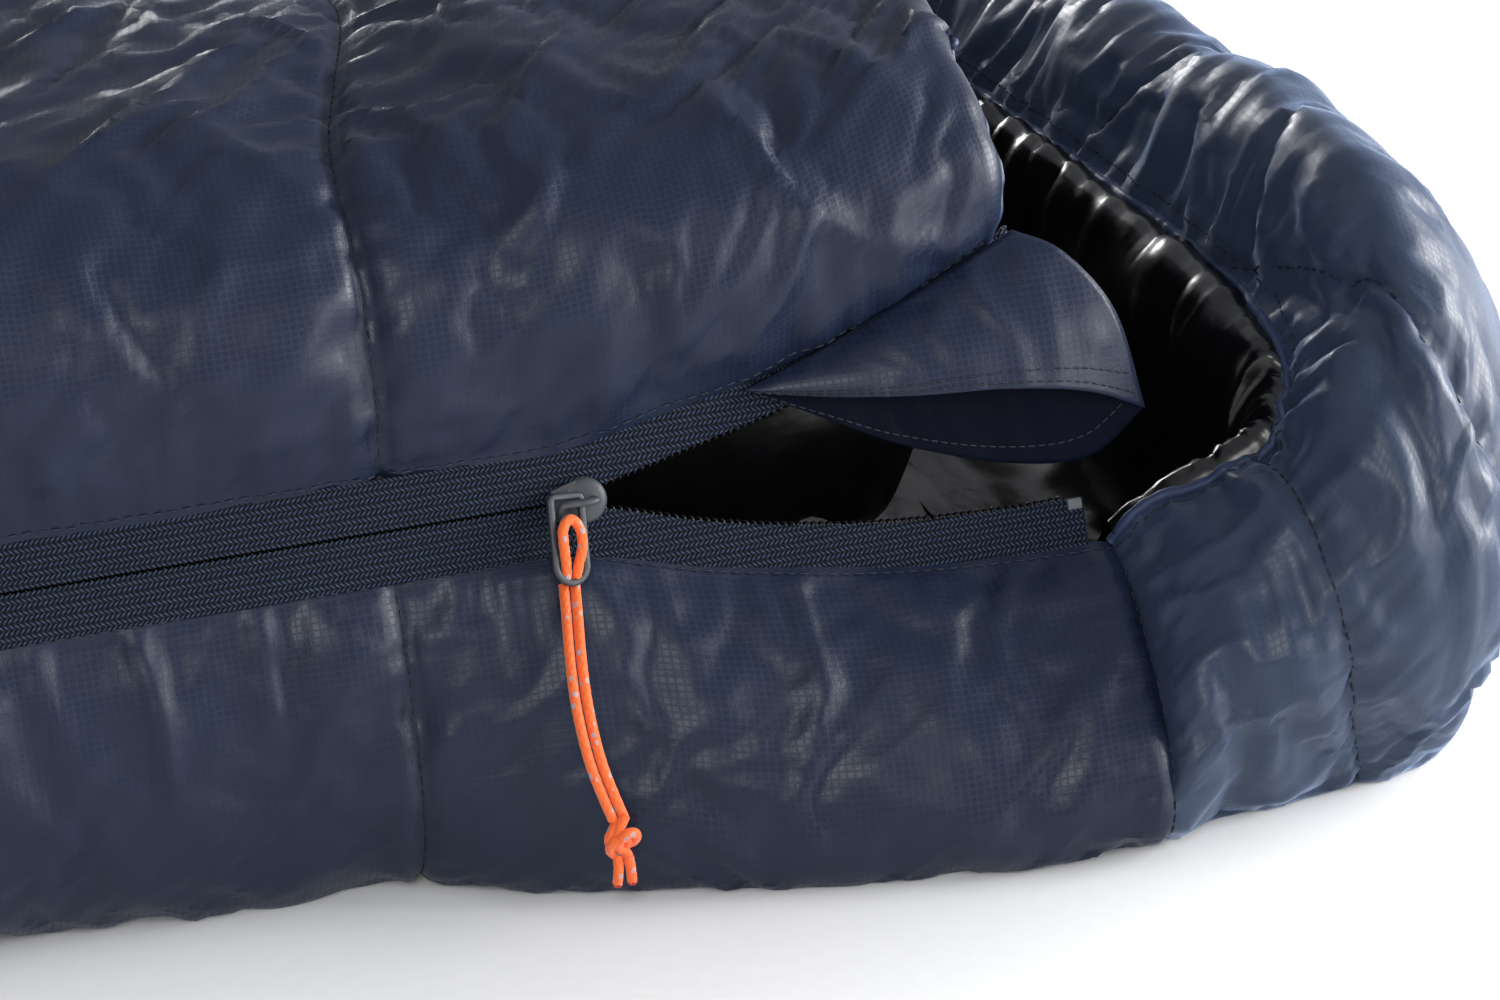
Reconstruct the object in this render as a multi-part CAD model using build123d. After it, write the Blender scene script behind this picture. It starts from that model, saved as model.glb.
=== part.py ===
from build123d import *
import os
from math import cos, pi, radians, sin, tan

# Insulated sleeping bag with a side zip, lying closed on the ground, millimetres.
# +X points from the foot to the head, -Y is the zip side, +Z is up and z = 0 is the ground.
# The zip is closed up to the slider, and its last stretch at the neck is open.

# ---- driving dimensions -------------------------------------------------------------
FOOT_X = -1040.0          # outer face of the foot end
NECK_X = 770.0            # seam between the base and the hood
TOP_NECK_X = 760.0        # free neck edge of the top quilt
FABRIC = 1.0              # shell and lining fabric with its seam allowance
LOFT = 25.0               # quilted batt, without the air that puffs it up
ZIP_Y = -400.0            # the chain's centre line
ZIP_Z = 97.0
ZIP_TILT = 20.0           # degrees that the zip's face looks up
TAPE_WIDTH = 11.0         # the part of each tape that shows
TAPE_THICK = 0.8
CHAIN_GAP = 1.6           # room for the slider's neck between the two tapes
COIL_WIDTH = 1.8
COIL_THICK = 2.0
SLIDER_X = 635.0          # middle of the slider
ZIP_START_X = -575.0      # lower end of both tapes
BOTTOM_STOP_X = -568.0
CORD_D = 2.6              # braided pull cord
RIM_SECTION = 3.0         # bound edge of the hood
ELASTIC_D = 1.6

HALF_FLOOR = 408.0        # half width where the base meets the ground
HALF_BULGE = 439.0        # half width of the base at its widest
HALF_TOP = 300.0          # half width where the top quilt starts to curve down
HEIGHT = 196.0            # crown of the top quilt

TILT = radians(ZIP_TILT)


def zip_point(across, out):
    """Y and Z of a point on the zip: across runs up the tape, out is proud of its face."""
    return (ZIP_Y + across * sin(TILT) - out * cos(TILT),
            ZIP_Z + across * cos(TILT) + out * sin(TILT))


LOWER_EDGE = zip_point(-TAPE_WIDTH, 0)
UPPER_EDGE = zip_point(TAPE_WIDTH, 0)


def mirrored(near):
    """Closed face from the near half of an outline, listed from bottom to top."""
    half = make_face(near + [Line(near[-1] @ 1, (0, (near[-1] @ 1).Y)),
                             Line((0, (near[-1] @ 1).Y), (0, (near[0] @ 0).Y)),
                             Line((0, (near[0] @ 0).Y), near[0] @ 0)])
    return half + mirror(half, about=Plane.YZ)


def inset(face, depth):
    if depth == 0:
        return face
    return offset(face, amount=-depth, kind=Kind.INTERSECTION)


def along_x(face, start, end):
    return extrude(Plane.YZ.offset(start) * face, amount=end - start)


def along_y(face, start, end):
    return extrude(Plane.XZ.offset(-start) * face, amount=start - end)


def along_z(face, start, end):
    return extrude(Plane.XY.offset(start) * face, amount=end - start)


def save(node, *solids):
    shape = solids[0] if len(solids) == 1 else Compound(children=list(solids))
    export_step(shape, f"parts/{node}.step")


# ---- base and top quilts ------------------------------------------------------------
def body_section():
    """Whole cross-section of the closed bag: flat floor, bulging sides, crowned top."""
    side_low = (-430, 58)
    return mirrored([
        ThreePointArc((-HALF_FLOOR, 0), (-HALF_BULGE, 34), side_low),
        Line(side_low, LOWER_EDGE),
        Line(LOWER_EDGE, UPPER_EDGE),
        ThreePointArc(UPPER_EDGE, (-374, 164), (-HALF_TOP, HEIGHT - 5)),
        Line((-HALF_TOP, HEIGHT - 5), (-HALF_TOP / 2, HEIGHT)),
    ])


def body_core(depth):
    """The closed bag shrunk by depth on every side but the neck, where it runs on."""
    return along_x(inset(body_section(), depth), FOOT_X + depth, NECK_X)


def slab(z_low, z_high, x_end):
    width = 2 * HALF_BULGE + 40
    return Pos((FOOT_X + x_end) / 2, 0, (z_low + z_high) / 2) * Box(
        x_end - FOOT_X, width, z_high - z_low)


# The band that the zip takes out of the near wall, and the open mouth behind the slider.
MOUTH_UPPER = [(SLIDER_X - 6, UPPER_EDGE[1]), (684, 118), (757, 146), (780, 160)]
MOUTH_LOWER = [(780, 64), (748, 65), (707, 70), (667, 77), (SLIDER_X - 6, LOWER_EDGE[1])]


def zip_band():
    outer, inner = -HALF_BULGE - 40, ZIP_Y + 50
    closed = Pos((ZIP_START_X + SLIDER_X) / 2, (outer + inner) / 2, ZIP_Z) * Box(
        SLIDER_X - ZIP_START_X, inner - outer, UPPER_EDGE[1] - LOWER_EDGE[1])
    mouth = along_y(make_face(Polyline(*MOUTH_UPPER, *MOUTH_LOWER, close=True)), outer, inner)
    return closed + mouth


BAND = zip_band()
LAYERS = (("shell", 0, FABRIC),
          ("insulation", FABRIC, FABRIC + LOFT),
          ("lining", FABRIC + LOFT, 2 * FABRIC + LOFT))


def quilt_layers(name, z_low, z_high, x_end):
    half = slab(z_low, z_high, x_end) - BAND
    for layer, outer, inner in LAYERS:
        save(f"{name}_{layer}", (body_core(outer) - body_core(inner)) & half)


# ---- hood ---------------------------------------------------------------------------
HOOD_END_X = 884.0
HOOD_HALF = 452.0
BOWL_END_X = 834.0
BOWL_HALF = 394.0
BOWL_FLOOR = 27.0


def rounded_end(half, end_x, radius):
    """Rounded end of the hood seen from above."""
    start = NECK_X - 60
    face = make_face(Polyline((start, -half), (end_x, -half), (end_x, half), (start, half),
                              close=True))
    return fillet(face.vertices().sort_by(Axis.X)[-2:], radius)


def hood_block(depth):
    """Outer form of the padded hood: side view, plan and end view, crossed."""
    side = make_face(Polyline((NECK_X - 30, 0), (NECK_X - 30, 70), (NECK_X, 78), (796, 90),
                              (818, 112), (836, 140), (852, 150), (872, 130),
                              (HOOD_END_X, 82), (HOOD_END_X, 34), (866, 0), close=True))
    end = mirrored([
        ThreePointArc((-420, 0), (-HOOD_HALF, 42), (-442, 96)),
        ThreePointArc((-442, 96), (-416, 138), (-350, 152)),
        Line((-350, 152), (-175, 153)),
    ])
    block = along_y(inset(side, depth), -HOOD_HALF, HOOD_HALF)
    block &= along_z(inset(rounded_end(HOOD_HALF, HOOD_END_X, 84), depth), 0, 200)
    block &= along_x(inset(end, depth), NECK_X, HOOD_END_X)
    return block


def hood_bowl(growth):
    """The open space inside the hood, grown outwards by growth."""
    floor = BOWL_FLOOR - growth
    side = make_face(Polyline((NECK_X - 60, floor), (786 + growth, floor), (806 + growth, 50),
                              (816 + growth, 104), (BOWL_END_X + growth, 170),
                              (BOWL_END_X + growth, 300), (NECK_X - 60, 300), close=True))
    plan = rounded_end(BOWL_HALF + growth, BOWL_END_X + growth, 62 + growth)
    return along_y(side, -HOOD_HALF, HOOD_HALF) & along_z(plan, 0, 400)


def rim_strip(near, deep):
    """The part of the hood's padding that is close to its outside and to its bowl."""
    return (hood_block(near) - hood_block(deep)) & (hood_bowl(deep) - hood_bowl(near))


def build_hood():
    outer, core = hood_block(0), hood_block(FABRIC)
    binding = rim_strip(0, RIM_SECTION)
    elastic = rim_strip(0.5 * (RIM_SECTION - ELASTIC_D), 0.5 * (RIM_SECTION + ELASTIC_D))
    save("hood_shell", outer - core - hood_bowl(FABRIC) - binding)
    save("hood_insulation", core - hood_bowl(FABRIC) - binding)
    save("hood_lining", (core & hood_bowl(FABRIC)) - hood_bowl(0) - binding)
    save("hood_rim_binding", binding - elastic)
    save("hood_rim_elastic", elastic)


# ---- neck edge of the top quilt -----------------------------------------------------
def build_neck_binding():
    edge = body_core(0) - body_core(2 * FABRIC + LOFT)
    strip = Pos(TOP_NECK_X + 0.75, 0, 200) * Box(1.5, 1000, 400 - 2 * ZIP_Z)
    save("top_neck_binding", (edge & strip & Pos(0, 0, 100 + ZIP_Z) * Box(2000, 1000, 200)) - BAND)


# ---- zip ----------------------------------------------------------------------------
ZIP = Plane(origin=(0, ZIP_Y, ZIP_Z), x_dir=(1, 0, 0), z_dir=(0, -cos(TILT), sin(TILT)))
EDGE = TAPE_WIDTH - 0.2                   # outer edge of a tape, just clear of the fabric
LIP = CHAIN_GAP / 2
LOWER_LIP = [(SLIDER_X - 2, -LIP), (644, -3.5), (667, -10.2), (707, -17.6), (748, -22.4),
             (768, -22.6)]
LOWER_HEM = [(768, -33.8), (748, -33.4), (707, -28.2), (667, -20.8), (SLIDER_X - 6, -EDGE)]
UPPER_LIP = [(SLIDER_X - 2, LIP), (644, 3.5), (667, 9.0), (684, 13.0), (753, 38.0)]
UPPER_HEM = [(753, 49.0), (684, 22.0), (SLIDER_X - 6, EDGE)]


def on_zip(face, low, high):
    """A face in the zip's plane, made into a sheet from low to high above that plane."""
    return extrude(ZIP.offset(low) * face, amount=high - low)


def zip_box(x, across, out):
    """A block on the zip, from its three pairs of limits."""
    size = (x[1] - x[0], across[1] - across[0], out[1] - out[0])
    centre = (sum(x) / 2, sum(across) / 2, sum(out) / 2)
    return ZIP * (Pos(*centre) * Box(*size))


def coil_outline(lip, side):
    """The strip along a tape's lip that the coil takes up."""
    edge = [(ZIP_START_X, side * LIP)] + lip
    back = [(x, across + side * COIL_WIDTH) for x, across in reversed(edge)]
    return make_face(Polyline(*edge, *back, close=True))


def build_zip():
    half = TAPE_THICK / 2
    for name, side, lip, hem in (("lower", -1, LOWER_LIP, LOWER_HEM),
                                 ("upper", 1, UPPER_LIP, UPPER_HEM)):
        start = [(ZIP_START_X, side * EDGE), (ZIP_START_X, side * LIP)]
        tape = make_face(Polyline(*start, *lip, *hem, close=True))
        save(f"zip_tape_{name}", on_zip(tape, -half, half))
        save(f"zip_coil_{name}", on_zip(coil_outline(lip, side), -half - COIL_THICK, -half))
        end_x, end_across = lip[-1]
        stop = zip_box((end_x - 4.5, end_x - 1.0), sorted((end_across, end_across + side * 2.6)),
                       (half, half + 1.2))
        save(f"zip_top_stop_{name}", stop)
    stop_x = (BOTTOM_STOP_X - 2, BOTTOM_STOP_X + 2)
    front = zip_box(stop_x, (-2.5, 2.5), (half + 0.1, half + 1.1))
    neck = zip_box(stop_x, (-0.5, 0.5), (-half - COIL_THICK - 0.1, half + 0.1))
    rear = zip_box(stop_x, (-2.5, 2.5), (-half - COIL_THICK - 1.1, -half - COIL_THICK - 0.1))
    save("zip_bottom_stop", front + neck + rear)


# ---- zip garage: the fabric cap at the neck that the slider parks in ----------------
GARAGE_ATTACH = [(684, 21), (757, 51)]
GARAGE_SIDE = [(768, 33), (785, 1)]
GARAGE_FRONT_HEM = [(766, 11), (744, 14), (718, 15.5)]
GARAGE_REAR_HEM = [(774, -9), (746, -7), (717, 4)]
GARAGE_REAR, GARAGE_FRONT = 3.0, 17.0


def build_garage():
    fabric = 0.8
    front = make_face(Polyline(*GARAGE_ATTACH, *GARAGE_SIDE, *GARAGE_FRONT_HEM, close=True))
    rear = make_face(Polyline(*GARAGE_ATTACH, *GARAGE_SIDE, *GARAGE_REAR_HEM, close=True))
    pocket = make_face(Polyline((693, 23.2), (756.2, 49.2), (766.9, 32.5), (783.2, 3), (783, -30),
                                (690, -30), close=True))
    flange = make_face(Polyline((690, 23.5), (757, 51), (757.6, 50), (691, 22.5), close=True))
    cap = on_zip(front, GARAGE_REAR, GARAGE_FRONT)
    cap -= on_zip(pocket, GARAGE_REAR + fabric, GARAGE_FRONT - fabric)
    cap += on_zip(rear, GARAGE_REAR, GARAGE_REAR + fabric)
    save("zip_garage", cap + on_zip(flange, -1.5, GARAGE_REAR + fabric))


# ---- draft tube behind the zip ------------------------------------------------------
DRAFT_END_X = 742.0


def build_draft_tube():
    centre_y, centre_z, half_y, half_z = ZIP_Y + 47, ZIP_Z - 7, 11.0, 33.0
    place = Pos(centre_y, centre_z)
    outer = along_x(place * Ellipse(half_y, half_z), ZIP_START_X, DRAFT_END_X)
    fill = along_x(place * Ellipse(half_y - FABRIC, half_z - FABRIC), ZIP_START_X + FABRIC,
                   DRAFT_END_X - FABRIC)
    save("draft_tube_shell", outer - fill)
    save("draft_tube_insulation", fill)


# ---- slider and its bridge ----------------------------------------------------------
CAP_X = SLIDER_X + 1.8                    # middle of the round nose
CAP_R = 5.9
PLATE = (1.4, 3.2)                        # front plate, above the zip's plane
BACK_PLATE = (-4.2, -2.8)
BRIDGE_OUT = 7.6
BRIDGE_R = 1.1
BRIDGE_X = (SLIDER_X - 6.6, SLIDER_X + 4.6)
LEG_X = 1.6                               # thickness of the leg at the bridge's tail end
# Section of that leg, across and out: bowed so that the ring's top bar can turn past it.
LEG_INNER = [(-0.8, 7.1), (-1.9, 6.6), (-2.4, 5.5), (-2.8, 4.2), (-2.95, PLATE[1])]
LEG_OUTER = [(-3.9, PLATE[1]), (-3.7, 4.9), (-3.0, 6.5)]


def build_slider():
    tail_x = SLIDER_X - 6.5
    nose = Pos(CAP_X, 0) * Circle(CAP_R)
    tail = make_face(Polyline((tail_x, -3.8), (CAP_X - 2, -5.4), (CAP_X - 2, 5.4), (tail_x, 3.8),
                              close=True))
    plate = on_zip(nose + tail, *PLATE)
    back = on_zip(Pos(SLIDER_X, 0) * RectangleRounded(13, 8, 2), *BACK_PLATE)
    neck = zip_box((SLIDER_X, SLIDER_X + 6), (-0.4, 0.4), (BACK_PLATE[1], PLATE[0]))
    save("slider_body", plate + neck + back)

    start, end = BRIDGE_X
    bar = ZIP * (Pos((start + end) / 2, 0, BRIDGE_OUT) * (Rot(0, 90, 0) * Cylinder(
        BRIDGE_R, end - start)))
    foot = zip_box((end - 1.7, end), (-BRIDGE_R, BRIDGE_R), (PLATE[1], BRIDGE_OUT))
    slant = make_face(Polyline(*LEG_INNER, *LEG_OUTER, (-BRIDGE_R, BRIDGE_OUT), close=True))
    across_section = Plane(origin=ZIP.from_local_coords((start, 0, 0)), x_dir=ZIP.y_dir,
                           z_dir=ZIP.x_dir)
    leg = extrude(across_section * slant, amount=LEG_X)
    save("slider_bridge", bar + foot + leg)


# ---- pull ring, cord hitch and cord -------------------------------------------------
RING_X = SLIDER_X - 3.8
RING_WIDTH, RING_BAR, RING_DEPTH = 10.4, 1.9, 1.6
RING_TOP, RING_BOTTOM = 3.2, -20.3        # from the bridge's centre line
RING_TILT = 25.0                          # it lies on the quilt's slope
RING_YAW = 13.2                           # its far side passes under the bridge
RING_LEAN = 4.0
RING_SETBACK = 1.2

BRIDGE = zip_point(0, BRIDGE_OUT)
RING = (Pos(RING_X, BRIDGE[0], BRIDGE[1]) * Rot(-RING_TILT, 0, 0) * Rot(0, RING_LEAN, 0)
        * Rot(0, 0, RING_YAW) * Pos(0, RING_SETBACK, 0))


def cord_radii(points):
    """Corner radii for a cord: 0.45 of the shorter run over the tangent of half the turn."""
    points = [Vector(*p) for p in points]
    runs = [b - a for a, b in zip(points, points[1:])]
    return [0.45 * min(a.length, b.length) / tan(radians(a.get_angle(b)) / 2)
            for a, b in zip(runs, runs[1:])]


def cord_tube(name, points, radii):
    """Tube of straight runs joined by tangent arcs; its volume is checked against its length."""
    path = FilletPolyline(*points, radius=radii)
    section = Plane(origin=path @ 0, z_dir=path % 0) * Circle(CORD_D / 2)
    tube = sweep(section, path=path)
    expected = path.length * pi * CORD_D ** 2 / 4
    print(f"{name}: length {path.length:.1f}, radii {[round(r, 1) for r in radii]}, "
          f"volume ratio {tube.volume / expected:.4f}")
    return tube


def build_ring():
    def outline(shrink):
        half = RING_WIDTH / 2 - shrink
        top, low = RING_TOP - shrink, RING_BOTTOM + RING_WIDTH / 2
        corner = max(1.8 - shrink, 0.4)
        face = make_face([
            Line((-half, low), (-half, top)), Line((-half, top), (half, top)),
            Line((half, top), (half, low)),
            ThreePointArc((half, low), (0, low - half), (-half, low)),
        ])
        return fillet(face.vertices().sort_by(Axis.Y)[-2:], corner)
    flat = extrude(Plane.XZ * (outline(0) - outline(RING_BAR)), amount=RING_DEPTH / 2, both=True)
    save("pull_ring", RING * flat)


# The doubled cord inside the ring: up from the bottom bar, over, and down again.
HITCH = [(-1.4, -0.2, -16.6), (-1.9, -1.5, -10), (-1.8, -1.3, -4.4), (1.8, -1.3, -4.4),
         (1.9, -1.5, -10), (1.4, -0.2, -16.6)]
# Middle of the two strands, from behind the ring's bottom bar down to the knot.
STRANDS = [(629.3, -411.5, 80.0), (628.0, -417.8, 75.2), (626.0, -426.2, 68.0),
           (624.7, -434.8, 58.2), (625.4, -441.4, 46.4), (628.2, -443.9, 36.0),
           (630.2, -444.5, 30.1)]
STRAND_GAP = 2.9
KNOT = (630.8, -444.8, 24.2)
KNOT_R, KNOT_H = 4.3, 10.6


def build_pull():
    build_ring()
    save("pull_cord_hitch", RING * cord_tube("pull_cord_hitch", HITCH, [9.0, 1.7, 1.7, 9.0]))
    for name, side in (("left", -1), ("right", 1)):
        route = [(x + side * STRAND_GAP / 2, y, z) for x, y, z in STRANDS]
        save(f"pull_cord_{name}", cord_tube(f"pull_cord_{name}", route, cord_radii(route)))
    x, y, z = KNOT
    knot = fillet(Cylinder(KNOT_R, KNOT_H).edges(), 2.6)
    tails = [Pos(side * 1.9, 0, -KNOT_H / 2 - 3.2) * Cylinder(CORD_D / 2, 8.6)
             for side in (-1, 1)]
    save("pull_cord_knot", Pos(x, y, z) * (knot + tails))


os.makedirs("parts", exist_ok=True)
quilt_layers("base", 0, ZIP_Z, NECK_X)
quilt_layers("top", ZIP_Z, HEIGHT + 1, TOP_NECK_X)
build_hood()
build_neck_binding()
build_zip()
build_garage()
build_draft_tube()
build_slider()
build_pull()
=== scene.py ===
import math

import bpy
import numpy as np
from mathutils import Matrix, Vector


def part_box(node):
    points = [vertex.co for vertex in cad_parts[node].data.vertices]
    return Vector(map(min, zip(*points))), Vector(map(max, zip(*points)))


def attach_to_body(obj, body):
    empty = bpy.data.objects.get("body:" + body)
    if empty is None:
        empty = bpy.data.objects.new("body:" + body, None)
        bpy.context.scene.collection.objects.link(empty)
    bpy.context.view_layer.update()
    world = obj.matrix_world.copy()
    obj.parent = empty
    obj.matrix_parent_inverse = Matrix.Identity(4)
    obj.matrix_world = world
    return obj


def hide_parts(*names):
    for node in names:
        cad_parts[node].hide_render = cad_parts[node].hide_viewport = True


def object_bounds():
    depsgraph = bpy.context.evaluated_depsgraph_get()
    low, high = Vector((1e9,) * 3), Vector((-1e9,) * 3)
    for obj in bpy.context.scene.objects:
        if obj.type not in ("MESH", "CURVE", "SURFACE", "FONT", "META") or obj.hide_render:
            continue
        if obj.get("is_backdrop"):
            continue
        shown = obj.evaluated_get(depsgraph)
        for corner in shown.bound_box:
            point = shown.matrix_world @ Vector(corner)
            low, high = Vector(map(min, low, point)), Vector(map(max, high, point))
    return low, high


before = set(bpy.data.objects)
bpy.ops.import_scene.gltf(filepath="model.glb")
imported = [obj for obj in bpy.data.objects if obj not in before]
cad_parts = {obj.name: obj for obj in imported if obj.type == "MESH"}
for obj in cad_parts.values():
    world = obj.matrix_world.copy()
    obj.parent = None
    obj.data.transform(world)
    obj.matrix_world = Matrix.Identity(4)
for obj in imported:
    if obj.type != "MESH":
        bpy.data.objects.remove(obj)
cad_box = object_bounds()

# Lengths in this script are millimetres in the CAD frame; MM turns them into metres where a mesh,
# a curve or the camera is made. +X is towards the head, -Y the zip side, z = 0 the ground.
MM = 0.001

# ---- sizes shared with the CAD --------------------------------------------------------
ZIP_Y, ZIP_Z, ZIP_TILT = -400.0, 97.0, math.radians(20)
TAPE_WIDTH, TAPE_THICK, CHAIN_GAP = 11.0, 0.8, 1.6
SLIDER_X, BRIDGE_OUT = 635.0, 7.6
ZIP_START_X, BOTTOM_STOP_X = -575.0, -568.0
CORD_D = 2.6
FOOT_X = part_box("base_shell")[0].x / MM
NECK_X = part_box("base_shell")[1].x / MM
TOP_NECK_X = 757.0
TAPE_END_X = 768.0
LOFT = 26.0                       # from the shell to the lining
SEAM_PITCH = 186.0
SEAMS = [587.0 - SEAM_PITCH * k for k in range(9)]
FOOT_R = 70.0                     # the foot end rolls over with this radius
FOOT_STEPS = 14                   # sections in that roll
FOOT_STEP = FOOT_R * 1.57 / FOOT_STEPS
ROLL_STEPS = 7                    # sections in the rolled neck edge
GROUND = 0.4                      # height of fabric that lies on the ground
THREAD_LIFT = 0.2                 # stitches stand this far off the fabric
UPPER_STOP_X, UPPER_COIL_X = 753.0, 752.0
COIL_PITCH, COIL_STEPS = 2.0, 9
DRAFT_END_X, DRAFT_IN, DRAFT_DROP = 742.0, 47, 7
DRAFT_HALF_Y, DRAFT_HALF_Z = 11.0, 33.0
FLOOR_HALF, FLOOR_Z = 6000, -0.3


# ---- curves and noise -----------------------------------------------------------------
def catmull(points, per_run=24):
    """Smooth curve through the points, as a dense array."""
    p = np.asarray(points, float)
    p = np.vstack([2 * p[0] - p[1], p, 2 * p[-1] - p[-2]])
    t = np.linspace(0, 1, per_run, endpoint=False)[:, None]
    runs = [0.5 * (2 * b + (c - a) * t + (2 * a - 5 * b + 4 * c - d) * t ** 2
                   + (3 * b - a - 3 * c + d) * t ** 3)
            for a, b, c, d in zip(p, p[1:], p[2:], p[3:])]
    return np.vstack(runs + [p[-2:-1]])


def run_lengths(line):
    """Length along the line at each of its points."""
    steps = np.linalg.norm(np.diff(line, axis=0), axis=1)
    return np.concatenate([[0], np.cumsum(steps)])


def at_lengths(line, wanted):
    """Points of the line at the wanted lengths along it."""
    s = run_lengths(line)
    return np.stack([np.interp(wanted, s, line[:, k]) for k in range(line.shape[1])], 1)


def at_fractions(line, fractions):
    return at_lengths(line, np.asarray(fractions) * run_lengths(line)[-1])


def hermite(params, values, at):
    """Smooth interpolation of values, given at uneven params, along their first axis."""
    params, at = np.asarray(params, float), np.asarray(at, float)
    h = np.diff(params)
    slope = np.diff(values, axis=0) / h.reshape((-1,) + (1,) * (values.ndim - 1))
    inner = ((slope[1:].T * h[:-1] + slope[:-1].T * h[1:]) / (h[:-1] + h[1:])).T
    tangent = np.concatenate([slope[:1], inner, slope[-1:]])
    k = np.clip(np.searchsorted(params, at, side="right") - 1, 0, len(h) - 1)
    shape = (-1,) + (1,) * (values.ndim - 1)
    t, step = ((at - params[k]) / h[k]).reshape(shape), h[k].reshape(shape)
    return (values[k] * (2 * t ** 3 - 3 * t ** 2 + 1) + values[k + 1] * (3 * t ** 2 - 2 * t ** 3)
            + tangent[k] * (t ** 3 - 2 * t ** 2 + t) * step
            + tangent[k + 1] * (t ** 3 - t ** 2) * step)


def follow(x, points):
    """Smooth value at x of a curve given by (x, value) pairs."""
    places, values = np.array(points, float).T
    at = np.atleast_1d(np.clip(x, places[0], places[-1]))
    found = hermite(places, values[:, None], at)[:, 0]
    return found if np.ndim(x) else float(found[0])


def ease(t):
    t = np.clip(t, 0, 1)
    return t * t * (3 - 2 * t)


def noise(u, v, seed):
    """Smooth value noise between -1 and 1 with cells of size 1."""
    rng = np.random.default_rng(seed)
    table = rng.uniform(-1, 1, (61, 67))
    u, v = np.broadcast_arrays(np.asarray(u, float), np.asarray(v, float))
    i, j = np.floor(u).astype(int), np.floor(v).astype(int)
    fu, fv = ease(u - i), ease(v - j)
    corner = lambda a, b: table[(i + a) % 61, (j + b) % 67]
    low = corner(0, 0) * (1 - fu) + corner(1, 0) * fu
    high = corner(0, 1) * (1 - fu) + corner(1, 1) * fu
    return low * (1 - fv) + high * fv


def ridged(u, v, seed):
    """Noise with sharp crests, from 0 to 1."""
    return 1 - np.abs(noise(u, v, seed)) * 2


def blur(field, passes):
    """The field smoothed along both of its axes."""
    for _ in range(passes):
        for axis in (0, 1):
            pad = [(1, 1) if k == axis else (0, 0) for k in range(field.ndim)]
            f = np.pad(field, pad, mode="edge")
            n = field.shape[axis]
            take = lambda k: np.take(f, range(k, k + n), axis=axis)
            field = 0.25 * take(0) + 0.5 * take(1) + 0.25 * take(2)
    return field


# ---- fabric height, measured outwards from the seam lines ------------------------------
def puckers(along, away, seed, strength=1.0):
    """Gathers that fan out from a seam: short fine ones beside it, longer ones further away."""
    total = 0
    for k, cell in enumerate((3.4, 6.5, 13.0)):
        wobble = 0.5 * noise(along / (3 * cell), away / (2 * cell), seed + 20 + k)
        folds = ridged(along / cell + wobble, away / (8 * cell), seed + k)
        total = total + 0.085 * cell * folds * np.exp(-(away / (2.3 * cell)) ** 1.5)
    return strength * total


def creases(u, v, area, count, seed, angle=(-75, -20), length=(22, 75), width=(2.2, 6), height=2.4):
    """Sharp creases of thin crumpled nylon, scattered over the area (u0, u1, v0, v1)."""
    rng = np.random.default_rng(seed)
    total = np.zeros(np.broadcast(u, v).shape)
    for _ in range(count):
        cu, cv = rng.uniform(area[0], area[1]), rng.uniform(area[2], area[3])
        turn = math.radians(rng.uniform(*angle))
        half, wide = rng.uniform(*length) / 2, rng.uniform(*width)
        bend = rng.uniform(-0.006, 0.006)
        tall = height * rng.choice((-1.0, 1.0, 1.0)) * rng.uniform(0.35, 1.0) * wide / width[1]
        a = (u - cu) * math.cos(turn) + (v - cv) * math.sin(turn)
        b = -(u - cu) * math.sin(turn) + (v - cv) * math.cos(turn) + bend * a * a
        taper = np.clip(1 - (a / half) ** 2, 0, 1)
        spread = wide * (0.35 + 0.65 * np.clip((a + half) / (2 * half), 0, 1))
        total += tall * taper * np.exp(-np.abs(b) / spread)
    return total


def soft_folds(u, v, seed, height=1.0):
    """Broad slack folds with a diagonal grain."""
    a, b = u * 0.86 + v * 0.5, v * 0.86 - u * 0.5
    return height * (0.9 * noise(a / 52, b / 24, seed) + 0.5 * noise(a / 21, b / 11, seed + 1)
                     + 0.2 * noise(a / 9, b / 5, seed + 2))


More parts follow.
